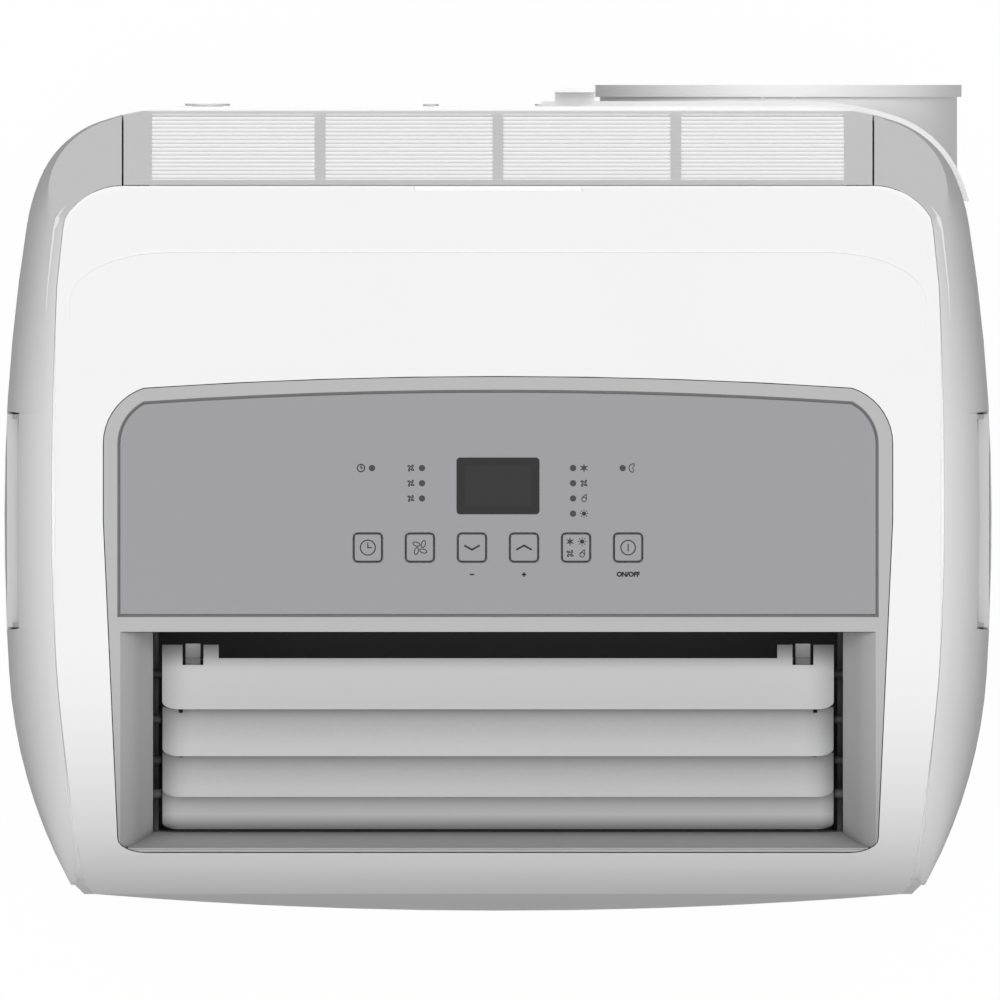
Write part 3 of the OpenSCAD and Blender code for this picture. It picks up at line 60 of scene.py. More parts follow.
# ---- Viewpoint
# The unit stands on its casters and is seen from straight above, with its front edge lowest in
# the view. A parallel view keeps its true proportions.
scene = bpy.context.scene
camera_data = bpy.data.cameras.new("overhead")
camera_data.type = "ORTHO"
camera_data.ortho_scale = 0.4476
camera_data.clip_end = 20
camera = bpy.data.objects.new("overhead", camera_data)
camera.location = (0.0009, -0.0010, 2.2)
scene.collection.objects.link(camera)
scene.camera = camera

# ---- Studio
# A white floor and a white surround, one very broad lamp overhead that lights level faces
# evenly, four weak strips low down, which keep the upright walls from going black, and a small one
# behind, high over the hose adaptor.
scene.view_settings.view_transform = "Standard"


def directly_seen(tree):
    """Is 1 for what the eye sees, straight, mirrored or through a clear piece, and 0 for light."""
    path = tree.nodes.new("ShaderNodeLightPath")
    straight_or_mirrored = tree.nodes.new("ShaderNodeMath")
    straight_or_mirrored.operation = "MAXIMUM"
    any_way = tree.nodes.new("ShaderNodeMath")
    any_way.operation = "MAXIMUM"
    tree.links.new(path.outputs["Is Camera Ray"], straight_or_mirrored.inputs[0])
    tree.links.new(path.outputs["Is Glossy Ray"], straight_or_mirrored.inputs[1])
    tree.links.new(straight_or_mirrored.outputs[0], any_way.inputs[0])
    tree.links.new(path.outputs["Is Transmission Ray"], any_way.inputs[1])
    return any_way.outputs[0]


world = bpy.data.worlds.new("studio")
scene.world = world
world.use_nodes = True
tree = world.node_tree
tree.nodes.clear()
fill = tree.nodes.new("ShaderNodeBackground")
fill.inputs["Color"].default_value = (1, 1, 1, 1)
fill.inputs["Strength"].default_value = 0.01
white = tree.nodes.new("ShaderNodeBackground")
white.inputs["Color"].default_value = (1, 1, 1, 1)
white.inputs["Strength"].default_value = 1
pick = tree.nodes.new("ShaderNodeMixShader")
tree.links.new(directly_seen(tree), pick.inputs["Fac"])
tree.links.new(fill.outputs[0], pick.inputs[1])
tree.links.new(white.outputs[0], pick.inputs[2])
out = tree.nodes.new("ShaderNodeOutputWorld")
tree.links.new(pick.outputs[0], out.inputs["Surface"])

lamp_data = bpy.data.lights.new("overhead_lamp", "SUN")
lamp_data.energy = 3.06
lamp_data.angle = math.radians(72)
lamp = bpy.data.objects.new("overhead_lamp", lamp_data)
lamp.location = (0, 0, 3)
scene.collection.objects.link(lamp)

for name, x, y, turn in (("front", 0, -1.15, 0), ("right", 1.25, 0, 90),
                         ("rear", 0, 1.15, 180), ("left", -1.25, 0, 270)):
    strip_data = bpy.data.lights.new("strip_" + name, "AREA")
    strip_data.shape = "RECTANGLE"
    strip_data.size = 1.3
    strip_data.size_y = 0.2
    strip_data.energy = 0.35
    strip = bpy.data.objects.new("strip_" + name, strip_data)
    strip.location = (x, y, 0.16)
    strip.rotation_euler = (math.radians(90), 0, math.radians(turn))
    strip.visible_camera = False
    strip.visible_glossy = False
    scene.collection.objects.link(strip)

rear_data = bpy.data.lights.new("rear_lamp", "AREA")
rear_data.shape = "RECTANGLE"
rear_data.size = 0.3
rear_data.size_y = 0.12
rear_data.energy = 0.29
rear_lamp = bpy.data.objects.new("rear_lamp", rear_data)
rear_lamp.location = (0.1, 0.36, 0.6)
rear_lamp.rotation_euler = (math.radians(-20), 0, 0)
rear_lamp.visible_camera = False
rear_lamp.visible_glossy = False
scene.collection.objects.link(rear_lamp)

bm = bmesh.new()
bmesh.ops.create_grid(bm, x_segments=1, y_segments=1, size=12)
floor_mesh = bpy.data.meshes.new("floor")
bm.to_mesh(floor_mesh)
bm.free()
floor = bpy.data.objects.new("floor", floor_mesh)
scene.collection.objects.link(floor)
floor_mat = bpy.data.materials.new("floor_paint")
floor_mat.use_nodes = True
tree = floor_mat.node_tree
tree.nodes.clear()
dull = tree.nodes.new("ShaderNodeBsdfDiffuse")
dull.inputs["Color"].default_value = (0.11, 0.11, 0.11, 1)
lit = tree.nodes.new("ShaderNodeBsdfDiffuse")
lit.inputs["Color"].default_value = (0.95, 0.95, 0.95, 1)
glow = tree.nodes.new("ShaderNodeEmission")
glow.inputs["Color"].default_value = (1, 1, 1, 1)
glow.inputs["Strength"].default_value = 1
pale = tree.nodes.new("ShaderNodeMixShader")
pale.inputs["Fac"].default_value = 0.975
tree.links.new(lit.outputs[0], pale.inputs[1])
tree.links.new(glow.outputs[0], pale.inputs[2])
pick = tree.nodes.new("ShaderNodeMixShader")
tree.links.new(directly_seen(tree), pick.inputs["Fac"])
tree.links.new(dull.outputs[0], pick.inputs[1])
tree.links.new(pale.outputs[0], pick.inputs[2])
out = tree.nodes.new("ShaderNodeOutputMaterial")
tree.links.new(pick.outputs[0], out.inputs["Surface"])
floor_mesh.materials.append(floor_mat)
floor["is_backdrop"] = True


# ---- White casing
# Front and top cover, rear casing, the two shoulder rails, grip cups and exhaust housing:
# injection-moulded white ABS with a fine satin spark finish, screwed together from behind.
def start_material(name):
    """A new material with its node tree, its shader and a source of object coordinates."""
    mat = bpy.data.materials.new(name)
    mat.use_nodes = True
    tree = mat.node_tree
    return mat, tree, tree.nodes["Principled BSDF"], tree.nodes.new("ShaderNodeTexCoord")


def two_tone(tree, first, second):
    """A mix of two colours, which waits for its factor."""
    mix = tree.nodes.new("ShaderNodeMix")
    mix.data_type = "RGBA"
    mix.inputs["A"].default_value = (*first, 1)
    mix.inputs["B"].default_value = (*second, 1)
    return mix


def relief(tree, shader, height, strength, distance):
    """Lets a height raise the surface by bump."""
    bump = tree.nodes.new("ShaderNodeBump")
    bump.inputs["Strength"].default_value = strength
    bump.inputs["Distance"].default_value = distance
    tree.links.new(height, bump.inputs["Height"])
    tree.links.new(bump.outputs["Normal"], shader.inputs["Normal"])


def moulded(name, colour, rough, gloss, grain=0.0007, depth=0.12, mottle=0.012):
    """Satin moulded plastic: even colour with a faint cloud, a fine spark grain, soft gloss."""
    mat, tree, shader, place = start_material(name)
    cloud = tree.nodes.new("ShaderNodeTexNoise")
    cloud.inputs["Scale"].default_value = 9
    cloud.inputs["Detail"].default_value = 3
    shade = two_tone(tree, [c * (1 - mottle) for c in colour],
                     [min(1, c * (1 + mottle)) for c in colour])
    spark = tree.nodes.new("ShaderNodeTexNoise")
    spark.inputs["Scale"].default_value = 1 / grain
    spark.inputs["Detail"].default_value = 2
    rub = tree.nodes.new("ShaderNodeMapRange")
    rub.inputs["To Min"].default_value = rough - 0.05
    rub.inputs["To Max"].default_value = rough + 0.05
    tree.links.new(place.outputs["Object"], cloud.inputs["Vector"])
    tree.links.new(place.outputs["Object"], spark.inputs["Vector"])
    tree.links.new(cloud.outputs["Fac"], shade.inputs["Factor"])
    tree.links.new(shade.outputs["Result"], shader.inputs["Base Color"])
    tree.links.new(spark.outputs["Fac"], rub.inputs["Value"])
    tree.links.new(rub.outputs["Result"], shader.inputs["Roughness"])
    relief(tree, shader, spark.outputs["Fac"], depth, 0.00012)
    shader.inputs["Specular IOR Level"].default_value = gloss
    return mat


def painted_crevice_shade(mat, reach, depth):
    """Paints shade into a material's colour in its corners and steps, as far away as reach."""
    tree = mat.node_tree
    shader = tree.nodes["Principled BSDF"]
    plain = shader.inputs["Base Color"].links[0].from_socket
    nook = tree.nodes.new("ShaderNodeAmbientOcclusion")
    nook.samples = 16
    nook.inputs["Distance"].default_value = reach
    power = tree.nodes.new("ShaderNodeMath")
    power.operation = "POWER"
    power.inputs[1].default_value = depth
    dim = tree.nodes.new("ShaderNodeMix")
    dim.data_type = "RGBA"
    dim.inputs["A"].default_value = (0, 0, 0, 1)
    tree.links.new(nook.outputs["AO"], power.inputs[0])
    tree.links.new(power.outputs[0], dim.inputs["Factor"])
    tree.links.new(plain, dim.inputs["B"])
    tree.links.new(dim.outputs["Result"], shader.inputs["Base Color"])


def dress(mat, *names):
    """Gives CAD pieces their material and smooths them, with edges over 28 degrees crisp."""
    for name in names:
        piece = nodes[name]
        piece.data.materials.clear()
        piece.data.materials.append(mat)
        piece.data.polygons.foreach_set("use_smooth", [True] * len(piece.data.polygons))
        weld = piece.modifiers.new("weld", "WELD")
        weld.merge_threshold = 0.000002
        split = piece.modifiers.new("crease", "EDGE_SPLIT")
        split.split_angle = math.radians(28)


def solid_piece(name, bm, mat):
    """Ends a bmesh and makes it an object of one material."""
    mesh = bpy.data.meshes.new(name)
    bm.to_mesh(mesh)
    bm.free()
    mesh.materials.append(mat)
    piece = bpy.data.objects.new(name, mesh)
    scene.collection.objects.link(piece)
    return piece


casing_white = moulded("casing_white", (0.9, 0.9, 0.9), rough=0.55, gloss=0.12)
dress(casing_white, "front_casing", "rear_casing", "shoulder_left", "shoulder_right",
      "handle_cup_left", "handle_cup_right", "exhaust_housing")

# ---- Cover field
# The rear of the top cover is moulded with a faint raised field: a wedge that rises 0.4 mm out of
# the cover behind the panel and ends in a soft chamfer with rounded corners.
COVER_Z = 0.71
FIELD_HW, FIELD_Y0, FIELD_Y1 = 0.1915, 0.0575, 0.1096
FIELD_RISE, FIELD_FOOT_Z, CHAMFER = 0.0004, 0.7099, 0.0012
CORNER_LONG, CORNER_DEEP = 0.045, 0.022
SPREAD_FROM_Y = 0.06
bm = bmesh.new()
outline = [(FIELD_HW - CORNER_LONG * (1 - math.sin(math.radians(a))),
            FIELD_Y1 - CORNER_DEEP * (1 - math.cos(math.radians(a)))) for a in range(90, -1, -6)]
outline = [(FIELD_HW, FIELD_Y0)] + outline
outline += [(-x, y) for x, y in reversed(outline)]
crest, foot = [], []
for x, y in outline:
    share = (y - FIELD_Y0) / (FIELD_Y1 - FIELD_Y0)
    crest.append(bm.verts.new((x, y, COVER_Z + FIELD_RISE * share)))
    out = Vector((x, y - SPREAD_FROM_Y, 0)).normalized() * CHAMFER * share
    foot.append(bm.verts.new((x + out.x, y + out.y, FIELD_FOOT_Z)))
bm.faces.new(crest)
bm.faces.new(list(reversed(foot)))
for n in range(len(outline)):
    bm.faces.new((crest[n], foot[n], foot[(n + 1) % len(foot)], crest[(n + 1) % len(crest)]))
bmesh.ops.recalc_face_normals(bm, faces=bm.faces[:])
field = solid_piece("cover_field", bm, casing_white)
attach(field, "cabinet")

# ---- Seam lips
# A thin moulded lip stands under each side seam, so that the joint between the cover and the
# shoulder rail shows white and not the dark inside. It follows the cover's own outer edge.
ROLL_Y, ROLL_Z, ROLL_R = -0.0598, 0.585, 0.125
NEAR_FACE, SEAM_X = 0.0012, 0.1796
LIP_IN, LIP_OUT = 0.0008, 0.0046
LIP_SINK, LIP_DROP, LIP_T = 0.0010, 0.0034, 0.0010
LEAST_UPRIGHT = 0.35


def cover_face(y):
    """Height of the cover's upper face: level behind, and falling round the roll in front."""
    return ROLL_Z + math.sqrt(max(0, ROLL_R ** 2 - min(0, y - ROLL_Y) ** 2))


cover = nodes["front_casing"]
for side, name in ((-1, "seam_lip_left"), (1, "seam_lip_right")):
    edge = {}
    for vertex in cover.data.vertices:
        spot = cover.matrix_world @ vertex.co
        if abs(spot.z - cover_face(spot.y)) < NEAR_FACE and side * spot.x > SEAM_X:
            key = round(spot.y, 4)
            edge[key] = max(edge.get(key, 0), side * spot.x)
    bm = bmesh.new()
    rows = []
    for y in sorted(edge):
        face = cover_face(y)
        z = face - LIP_SINK / max(LEAST_UPRIGHT, (face - ROLL_Z) / ROLL_R)
        inner, outer = side * (edge[y] - LIP_IN), side * (edge[y] + LIP_OUT)
        rows.append([bm.verts.new(corner) for corner in (
            (inner, y, z), (outer, y, z - LIP_DROP),
            (outer, y, z - LIP_DROP - LIP_T), (inner, y, z - LIP_T))])
    for low_row, high_row in zip(rows, rows[1:]):
        for n in range(4):
            bm.faces.new((low_row[n], low_row[(n + 1) % 4], high_row[(n + 1) % 4], high_row[n]))
    bm.faces.new(rows[0])
    bm.faces.new(rows[-1])
    bmesh.ops.recalc_face_normals(bm, faces=bm.faces[:])
    lip = solid_piece(name, bm, casing_white)
    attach(lip, "cabinet")

# ---- Outlet bezel and louvres
# A grey moulded frame drops into the top cover and carries four swinging louvres, whose left and
# right ends are joined by tie bars. All are satin grey plastic, the first three blades a shade
# paler than the frame; the fourth blade wears a darker copy of the blade grey, which is painted
# shade.
bezel_grey = moulded("bezel_grey", (0.482, 0.482, 0.484), rough=0.6, gloss=0.2)
louvre_grey = moulded("louvre_grey", (0.53, 0.53, 0.533), rough=0.6, gloss=0.2)
# Painted shade: the fourth blade is the same plastic as the others, given a darker copy of the
# blade grey.
louvre_grey_shaded = moulded("louvre_grey_shaded", (0.47, 0.47, 0.473), rough=0.6, gloss=0.2)
# Painted shade: each grey below is darkened by occlusion in its corners and steps, most under each
# blade's front edge.
painted_crevice_shade(bezel_grey, 0.012, 0.3)
painted_crevice_shade(louvre_grey, 0.018, 2.8)
painted_crevice_shade(louvre_grey_shaded, 0.010, 1.6)
dress(bezel_grey, "outlet_bezel", "tie_bars")
dress(louvre_grey, "louvre_1")

# Blades 2 to 4 stand for the plainer CAD ones. They are hollow scoops: each is nearly level at its
# front edge and curls up behind, under the front edge of the blade before it, so its rear lies in
# shade. Each has pivot arms, pivot pins and crank arms at both ends. OPEN_COLUMNS leaves a 1.6 mm
# slit outboard of each tie bar. The real blade has its slot at the bar itself, columns 2 and 4.
BLADE_HW, BLADE_T, CHORD = 0.1503, 0.0018, 0.0256
EDGE_W, EDGE_L = 0.0075, 0.0035
FRONT_R, REAR_R, MEAN_R = 0.104, 0.0998, 0.1019
FIRST_ANGLE, ANGLE_STEP = 19.6, 12.97
TIE_X, SLOT_HW = 0.1365, 0.0047
OPEN_FROM, TAIL = 0.775, 0.89
OPEN_COLUMNS = (1, 5)
PIVOT_BACK, PIVOT_DOWN, CRANK_R, CRANK_ANGLE = 0.0155, 0.007, 0.008, 35


def on_roll(radius, angle):
    a = math.radians(angle)
    return Vector((0, ROLL_Y - radius * math.sin(a), ROLL_Z + radius * math.cos(a)))


def blade_rise(k):
    """Height of the blade's face over its chord, k of the chord behind the front edge."""
    return CHORD * (0.301 * k ** 5 - 0.145 * k)


for i in (2, 3, 4):
    front_angle = FIRST_ANGLE + ANGLE_STEP * (i - 1)
    low = on_roll(FRONT_R, front_angle)
    top = on_roll(REAR_R, front_angle - 2 * math.degrees(math.asin(CHORD / 2 / MEAN_R)))
    along = (top - low).normalized()
    outward = Vector((0, -along.z, along.y))
    reach = (top - low).length

    bm = bmesh.new()
    rows = [0, 0.0004, 0.0010, 0.0018, 0.0026, EDGE_L]
    rows += [EDGE_L + (OPEN_FROM * reach - EDGE_L) * n / 8 for n in range(1, 9)]
    first_open = len(rows) - 1
    rows += [reach * (OPEN_FROM + (TAIL - OPEN_FROM) * n / 4) for n in range(1, 5)]
    grid = []
    for run in rows:
        rise = max(0, EDGE_L - run) / EDGE_L
        half = BLADE_HW - EDGE_W + EDGE_W * math.sqrt(max(0, 1 - rise * rise))
        xs = [TIE_X - SLOT_HW, TIE_X + SLOT_HW, BLADE_HW - EDGE_W, half]
        xs = [-x for x in reversed(xs)] + xs
        spot = low + along * run + outward * blade_rise(run / reach)
        grid.append([bm.verts.new((x, spot.y, spot.z)) for x in xs])
    for r in range(len(rows) - 1):
        for c in range(7):
            if r < first_open or c not in OPEN_COLUMNS:
                bm.faces.new([grid[r][c], grid[r][c + 1], grid[r + 1][c + 1], grid[r + 1][c]])
    bmesh.ops.remove_doubles(bm, verts=bm.verts[:], dist=0.000001)
    bmesh.ops.dissolve_degenerate(bm, edges=bm.edges[:], dist=0.000001)
    bmesh.ops.recalc_face_normals(bm, faces=bm.faces[:])
    if bm.faces[0].normal.dot(outward) < 0:
        bmesh.ops.reverse_faces(bm, faces=bm.faces[:])
    bmesh.ops.solidify(bm, geom=bm.faces[:], thickness=BLADE_T)

    pivot = low + along * PIVOT_BACK - outward * PIVOT_DOWN
    a = math.radians(CRANK_ANGLE)
    crank = pivot + Vector((0, CRANK_R * math.sin(a), -CRANK_R * math.cos(a)))
    for side in (-1, 1):
        for spot, r, x, thick in ((pivot, 0.0036, BLADE_HW - 0.0015, 0.003),
                                  (crank, 0.0031, TIE_X - 0.0057, 0.0026)):
            k = (spot - low).dot(along) / reach
            level = min(blade_rise(k - r / reach), blade_rise(k + r / reach)) - 0.0009
            height = level - (spot - low).dot(outward)
            turn = Matrix.Rotation(math.atan2(along.z, along.y), 4, "X")
            place = Matrix.Translation((side * x, spot.y, spot.z)) @ turn
            bmesh.ops.create_cone(bm, cap_ends=True, segments=32, radius1=r, radius2=r, depth=thick,
                                  matrix=place @ Matrix.Rotation(math.radians(90), 4, "Y"))
            bmesh.ops.create_cube(bm, size=1, matrix=place
                                  @ Matrix.Translation((0, 0, height / 2))
                                  @ Matrix.Diagonal((thick, 2 * r, height, 1)))
        for spot, r, x0, x1 in ((pivot, 0.002, BLADE_HW, 0.1558),
                                (crank, 0.0015, TIE_X - 0.0045, TIE_X + 0.0035)):
            bmesh.ops.create_cone(bm, cap_ends=True, segments=24, radius1=r, radius2=r,
                                  depth=x1 - x0,
                                  matrix=Matrix.Translation((side * (x0 + x1) / 2, spot.y, spot.z))
                                  @ Matrix.Rotation(math.radians(90), 4, "Y"))
    blade = solid_piece("blade_%d" % i, bm, louvre_grey_shaded if i == 4 else louvre_grey)
    blade.data.polygons.foreach_set("use_smooth", [True] * len(blade.data.polygons))
    round_off = blade.modifiers.new("round", "BEVEL")
    round_off.width = 0.0004
    round_off.segments = 2
    round_off.limit_method = "ANGLE"
    round_off.angle_limit = math.radians(50)
    split = blade.modifiers.new("crease", "EDGE_SPLIT")
    split.split_angle = math.radians(35)
    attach(blade, "louvre_%d" % i)
    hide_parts("louvre_%d" % i)

# The duct under the louvres is black foam-lined plastic, and the coil behind it is hardly seen.
duct_black = moulded("duct_black", (0.11, 0.11, 0.112), rough=0.8, grain=0.002, depth=0.5,
                     gloss=0.2)
dress(duct_black, "outlet_duct")

# ---- Control panel
# A darker grey fascia clipped into the bezel, with six caps of the same plastic that press in.
panel_grey = moulded("panel_grey", (0.315, 0.31, 0.323), rough=0.5, grain=0.0005, gloss=0.25)
KEYS = ("timer", "fan_speed", "down", "up", "mode", "power")
dress(panel_grey, "control_panel", *["key_" + k for k in KEYS])

# ---- Printed symbols
# Pad-printed in dark ink on the key caps: a thin rounded outline and one plain sign each, with
# a minus, a plus and ON/OFF under the caps that need them.
ink = moulded("print_ink", (0.02, 0.02, 0.023), rough=0.6, grain=0.0002, depth=0.05, gloss=0.2)
INK_T = 0.00004
PEN, BOLD, SIGN = 0.00052, 0.00085, 0.0007


def rim(bm, made, w):
    """Leaves a rim, w wide, of the disc just made."""
    disc = made["verts"][0].link_faces[0]
    bmesh.ops.inset_region(bm, faces=[disc], thickness=w, use_even_offset=True, use_boundary=True)
    bmesh.ops.delete(bm, geom=[disc], context="FACES")


def ring(bm, x, y, r, w=PEN, sides=40):
    made = bmesh.ops.create_circle(bm, cap_ends=True, segments=sides, radius=r,
                                   matrix=Matrix.Translation((x, y, 0)))
    rim(bm, made, w)


def stroke(bm, x0, y0, x1, y1, w=PEN):
    way = Vector((x1 - x0, y1 - y0, 0))
    place = (Matrix.Translation(((x0 + x1) / 2, (y0 + y1) / 2, 0))
             @ Matrix.Rotation(math.atan2(way.y, way.x), 4, "Z")
             @ Matrix.Diagonal((way.length, w, 1, 1)))
    bmesh.ops.create_grid(bm, x_segments=1, y_segments=1, size=0.5, matrix=place)


def clock(bm, x, y, r):
    ring(bm, x, y, r)
    stroke(bm, x, y, x, y + r * 0.62)
    stroke(bm, x - PEN / 2, y, x + r * 0.48, y)


def fan(bm, x, y, r):
    for k in range(4):
        a = math.radians(45 + 90 * k)
        cx, cy = x + r * 0.55 * math.cos(a), y + r * 0.55 * math.sin(a)
        place = (Matrix.Translation((cx, cy, 0)) @ Matrix.Rotation(a + 0.5, 4, "Z")
                 @ Matrix.Diagonal((r * 0.46, r * 0.27, 1, 1)))
        rim(bm, bmesh.ops.create_circle(bm, cap_ends=True, segments=18, radius=1, matrix=place),
            PEN * 0.8)


def sun(bm, x, y, r):
    bmesh.ops.create_circle(bm, cap_ends=True, segments=18, radius=r / 2,
                            matrix=Matrix.Translation((x, y, 0)))
    for k in range(8):
        a = math.radians(45 * k)
        stroke(bm, x + r * 0.66 * math.cos(a), y + r * 0.66 * math.sin(a),
               x + r * math.cos(a), y + r * math.sin(a), PEN * 0.7)


def flake(bm, x, y, r):
    for k in range(3):
        a = math.radians(30 + 60 * k)
        dx, dy = r * math.cos(a), r * math.sin(a)
        stroke(bm, x - dx, y - dy, x + dx, y + dy, PEN * 0.7)
    ring(bm, x, y, r * 0.55, PEN * 0.6, 18)


def drop(bm, x, y, r):
    ring(bm, x, y - r * 0.25, r * 0.62, PEN * 0.7, 18)
    stroke(bm, x - r * 0.5, y + r * 0.1, x + r * 0.55, y + r, PEN * 0.7)
    stroke(bm, x + r * 0.6, y - r * 0.1, x + r * 0.55, y + r, PEN * 0.7)


def moon(bm, x, y, r):
    for k in range(8):
        a, b = math.radians(70 + 25 * k), math.radians(95 + 25 * k)
        stroke(bm, x + r * math.cos(a), y + r * math.sin(a),
               x + r * math.cos(b), y + r * math.sin(b), PEN * 0.8)
    stroke(bm, x + r * 0.34, y + r * 0.9, x - r * 0.1, y, PEN * 0.7)
    stroke(bm, x - r * 0.1, y, x + r * 0.2, y - r * 0.95, PEN * 0.7)


def printed(name, bm, z, body):
    """Turns flat shapes into a film of ink lying on the surface at height z."""
    bmesh.ops.translate(bm, verts=bm.verts, vec=(0, 0, z + INK_T))
    bmesh.ops.recalc_face_normals(bm, faces=bm.faces)
    for face in bm.faces:
        if face.normal.z < 0:
            face.normal_flip()
    bmesh.ops.solidify(bm, geom=bm.faces[:], thickness=INK_T)
    piece = solid_piece(name, bm, ink)
    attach(piece, body)


CAP, CAP_CORNER, OUTLINE_W = 0.0129, 0.0013, 0.00056
for key in KEYS:
    low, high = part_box("key_" + key)
    x, y, top = (low.x + high.x) / 2, (low.y + high.y) / 2, high.z
    bm = bmesh.new()
    bmesh.ops.create_grid(bm, x_segments=1, y_segments=1, size=CAP / 2 - 0.00004,
                          matrix=Matrix.Translation((x, y, 0)))
    bmesh.ops.bevel(bm, geom=bm.verts[:], offset=CAP_CORNER, offset_type="OFFSET", segments=6,
                    profile=0.5, affect="VERTICES", material=-1)
    plate = bm.faces[:]
    bmesh.ops.inset_region(bm, faces=plate, thickness=OUTLINE_W, use_even_offset=True,
                           use_boundary=True)
    bmesh.ops.delete(bm, geom=plate, context="FACES")
    if key == "timer":
        clock(bm, x, y, 0.0036)
    elif key == "fan_speed":
        fan(bm, x, y, 0.0040)
    elif key == "down":
        stroke(bm, x - 0.0035, y + 0.0010, x + 0.00010, y - 0.0010, BOLD)
        stroke(bm, x - 0.00010, y - 0.0010, x + 0.0035, y + 0.0010, BOLD)
    elif key == "up":
        stroke(bm, x - 0.0035, y - 0.0010, x + 0.00010, y + 0.0010, BOLD)
        stroke(bm, x - 0.00010, y + 0.0010, x + 0.0035, y - 0.0010, BOLD)
    elif key == "mode":
        flake(bm, x - 0.0027, y + 0.0027, 0.0018)
        sun(bm, x + 0.0027, y + 0.0027, 0.0019)
        fan(bm, x - 0.0027, y - 0.0027, 0.0020)
        drop(bm, x + 0.0027, y - 0.0028, 0.0019)
    else:
        ring(bm, x, y, 0.0035)
        stroke(bm, x, y - 0.0017, x, y + 0.0017)
    printed("key_print_" + key, bm, top, "key_" + key)

panel_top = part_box("control_panel")[1].z
label_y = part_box("key_timer")[0].y - 0.0044

bm = bmesh.new()
down_low, down_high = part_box("key_down")
up_low, up_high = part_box("key_up")
x = (down_low.x + down_high.x) / 2
stroke(bm, x - 0.0010, label_y, x + 0.0010, label_y, SIGN)
x = (up_low.x + up_high.x) / 2
stroke(bm, x - 0.0010, label_y, x + 0.0010, label_y, SIGN)
stroke(bm, x, label_y - 0.0010, x, label_y + 0.0010, SIGN)
printed("panel_print_signs", bm, panel_top, "cabinet")

words = bpy.data.curves.new("switch_words", "FONT")
words.body = "ON/OFF"
words.size = 0.0028
words.align_x = "CENTER"
words.align_y = "CENTER"
words.offset = 0.00017
carrier = bpy.data.objects.new("switch_words", words)
scene.collection.objects.link(carrier)
bpy.context.view_layer.update()
bm = bmesh.new()
bm.from_mesh(bpy.data.meshes.new_from_object(carrier.evaluated_get(
    bpy.context.evaluated_depsgraph_get())))
bpy.data.objects.remove(carrier)
power_low, power_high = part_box("key_power")
bmesh.ops.translate(bm, verts=bm.verts,
                    vec=((power_low.x + power_high.x) / 2, label_y, 0))
printed("panel_print_words", bm, panel_top, "cabinet")

# ---- Indicators
# Nine small smoked lenses stand flush in the fascia, lit from the board below, each with a
# tiny printed sign beside it.
lens_smoke = moulded("lens_smoke", (0.045, 0.045, 0.048), rough=0.35, grain=0.0003, depth=0.04,
                     gloss=0.15)
dress(lens_smoke, "led_lenses")
LED_Y, ROW_PITCH, SIGN_R = 0.0133, 0.0068, 0.0019
bm = bmesh.new()
clock(bm, -0.0613, LED_Y, SIGN_R)
for row in range(3):
    fan(bm, -0.0390, LED_Y - ROW_PITCH * row, SIGN_R)
for row, sign in enumerate((flake, fan, drop, sun)):
    sign(bm, 0.0385, LED_Y - ROW_PITCH * row, SIGN_R)
moon(bm, 0.0605, LED_Y, SIGN_R)
printed("panel_print_indicators", bm, panel_top, "cabinet")

# ---- Display
# A smoked acrylic window, polished, with the unlit display field just showing through it.
low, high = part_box("display_window")
LIT_X, LIT_Y, FADE = 0.405, 0.36, 0.0003
display, tree, shader, place = start_material("display_smoke")
centre = tree.nodes.new("ShaderNodeMapping")
centre.inputs["Location"].default_value = (-(low.x + high.x) / 2, -(low.y + high.y) / 2, 0)
split = tree.nodes.new("ShaderNodeSeparateXYZ")
sizes = ((high.x - low.x) * LIT_X, (high.y - low.y) * LIT_Y)
edges = []
for axis, half in zip("XY", sizes):
    flip = tree.nodes.new("ShaderNodeMath")
    flip.operation = "ABSOLUTE"
    edge = tree.nodes.new("ShaderNodeMapRange")
    edge.inputs["From Min"].default_value = half - FADE
    edge.inputs["From Max"].default_value = half + FADE
    edge.inputs["To Min"].default_value = 1
    edge.inputs["To Max"].default_value = 0
    tree.links.new(split.outputs[axis], flip.inputs[0])
    tree.links.new(flip.outputs[0], edge.inputs["Value"])
    edges.append(edge)
field = tree.nodes.new("ShaderNodeMath")
field.operation = "MULTIPLY"
haze = tree.nodes.new("ShaderNodeTexNoise")
haze.inputs["Scale"].default_value = 60
fog = tree.nodes.new("ShaderNodeMapRange")
fog.inputs["To Min"].default_value = 0.85
fog.inputs["To Max"].default_value = 1
amount = tree.nodes.new("ShaderNodeMath")
amount.operation = "MULTIPLY"
tone = two_tone(tree, (0.006, 0.0057, 0.0057), (0.012, 0.0116, 0.0116))
tree.links.new(place.outputs["Object"], centre.inputs["Vector"])
tree.links.new(centre.outputs["Vector"], split.inputs["Vector"])
tree.links.new(place.outputs["Object"], haze.inputs["Vector"])
tree.links.new(haze.outputs["Fac"], fog.inputs["Value"])
tree.links.new(edges[0].outputs["Result"], field.inputs[0])
tree.links.new(edges[1].outputs["Result"], field.inputs[1])
tree.links.new(field.outputs[0], amount.inputs[0])
tree.links.new(fog.outputs["Result"], amount.inputs[1])
tree.links.new(amount.outputs[0], tone.inputs["Factor"])
tree.links.new(tone.outputs["Result"], shader.inputs["Base Color"])
shader.inputs["Roughness"].default_value = 0.2
shader.inputs["Specular IOR Level"].default_value = 0.13
dress(display, "display_window")

# ---- Control board
# A lacquered fibreglass board under the fascia, mottled green where tracks lie under its film.
board = moulded("board_green", (0.02, 0.09, 0.04), rough=0.35, grain=0.003, depth=0.2, gloss=0.5,
                mottle=0.2)
dress(board, "control_board")

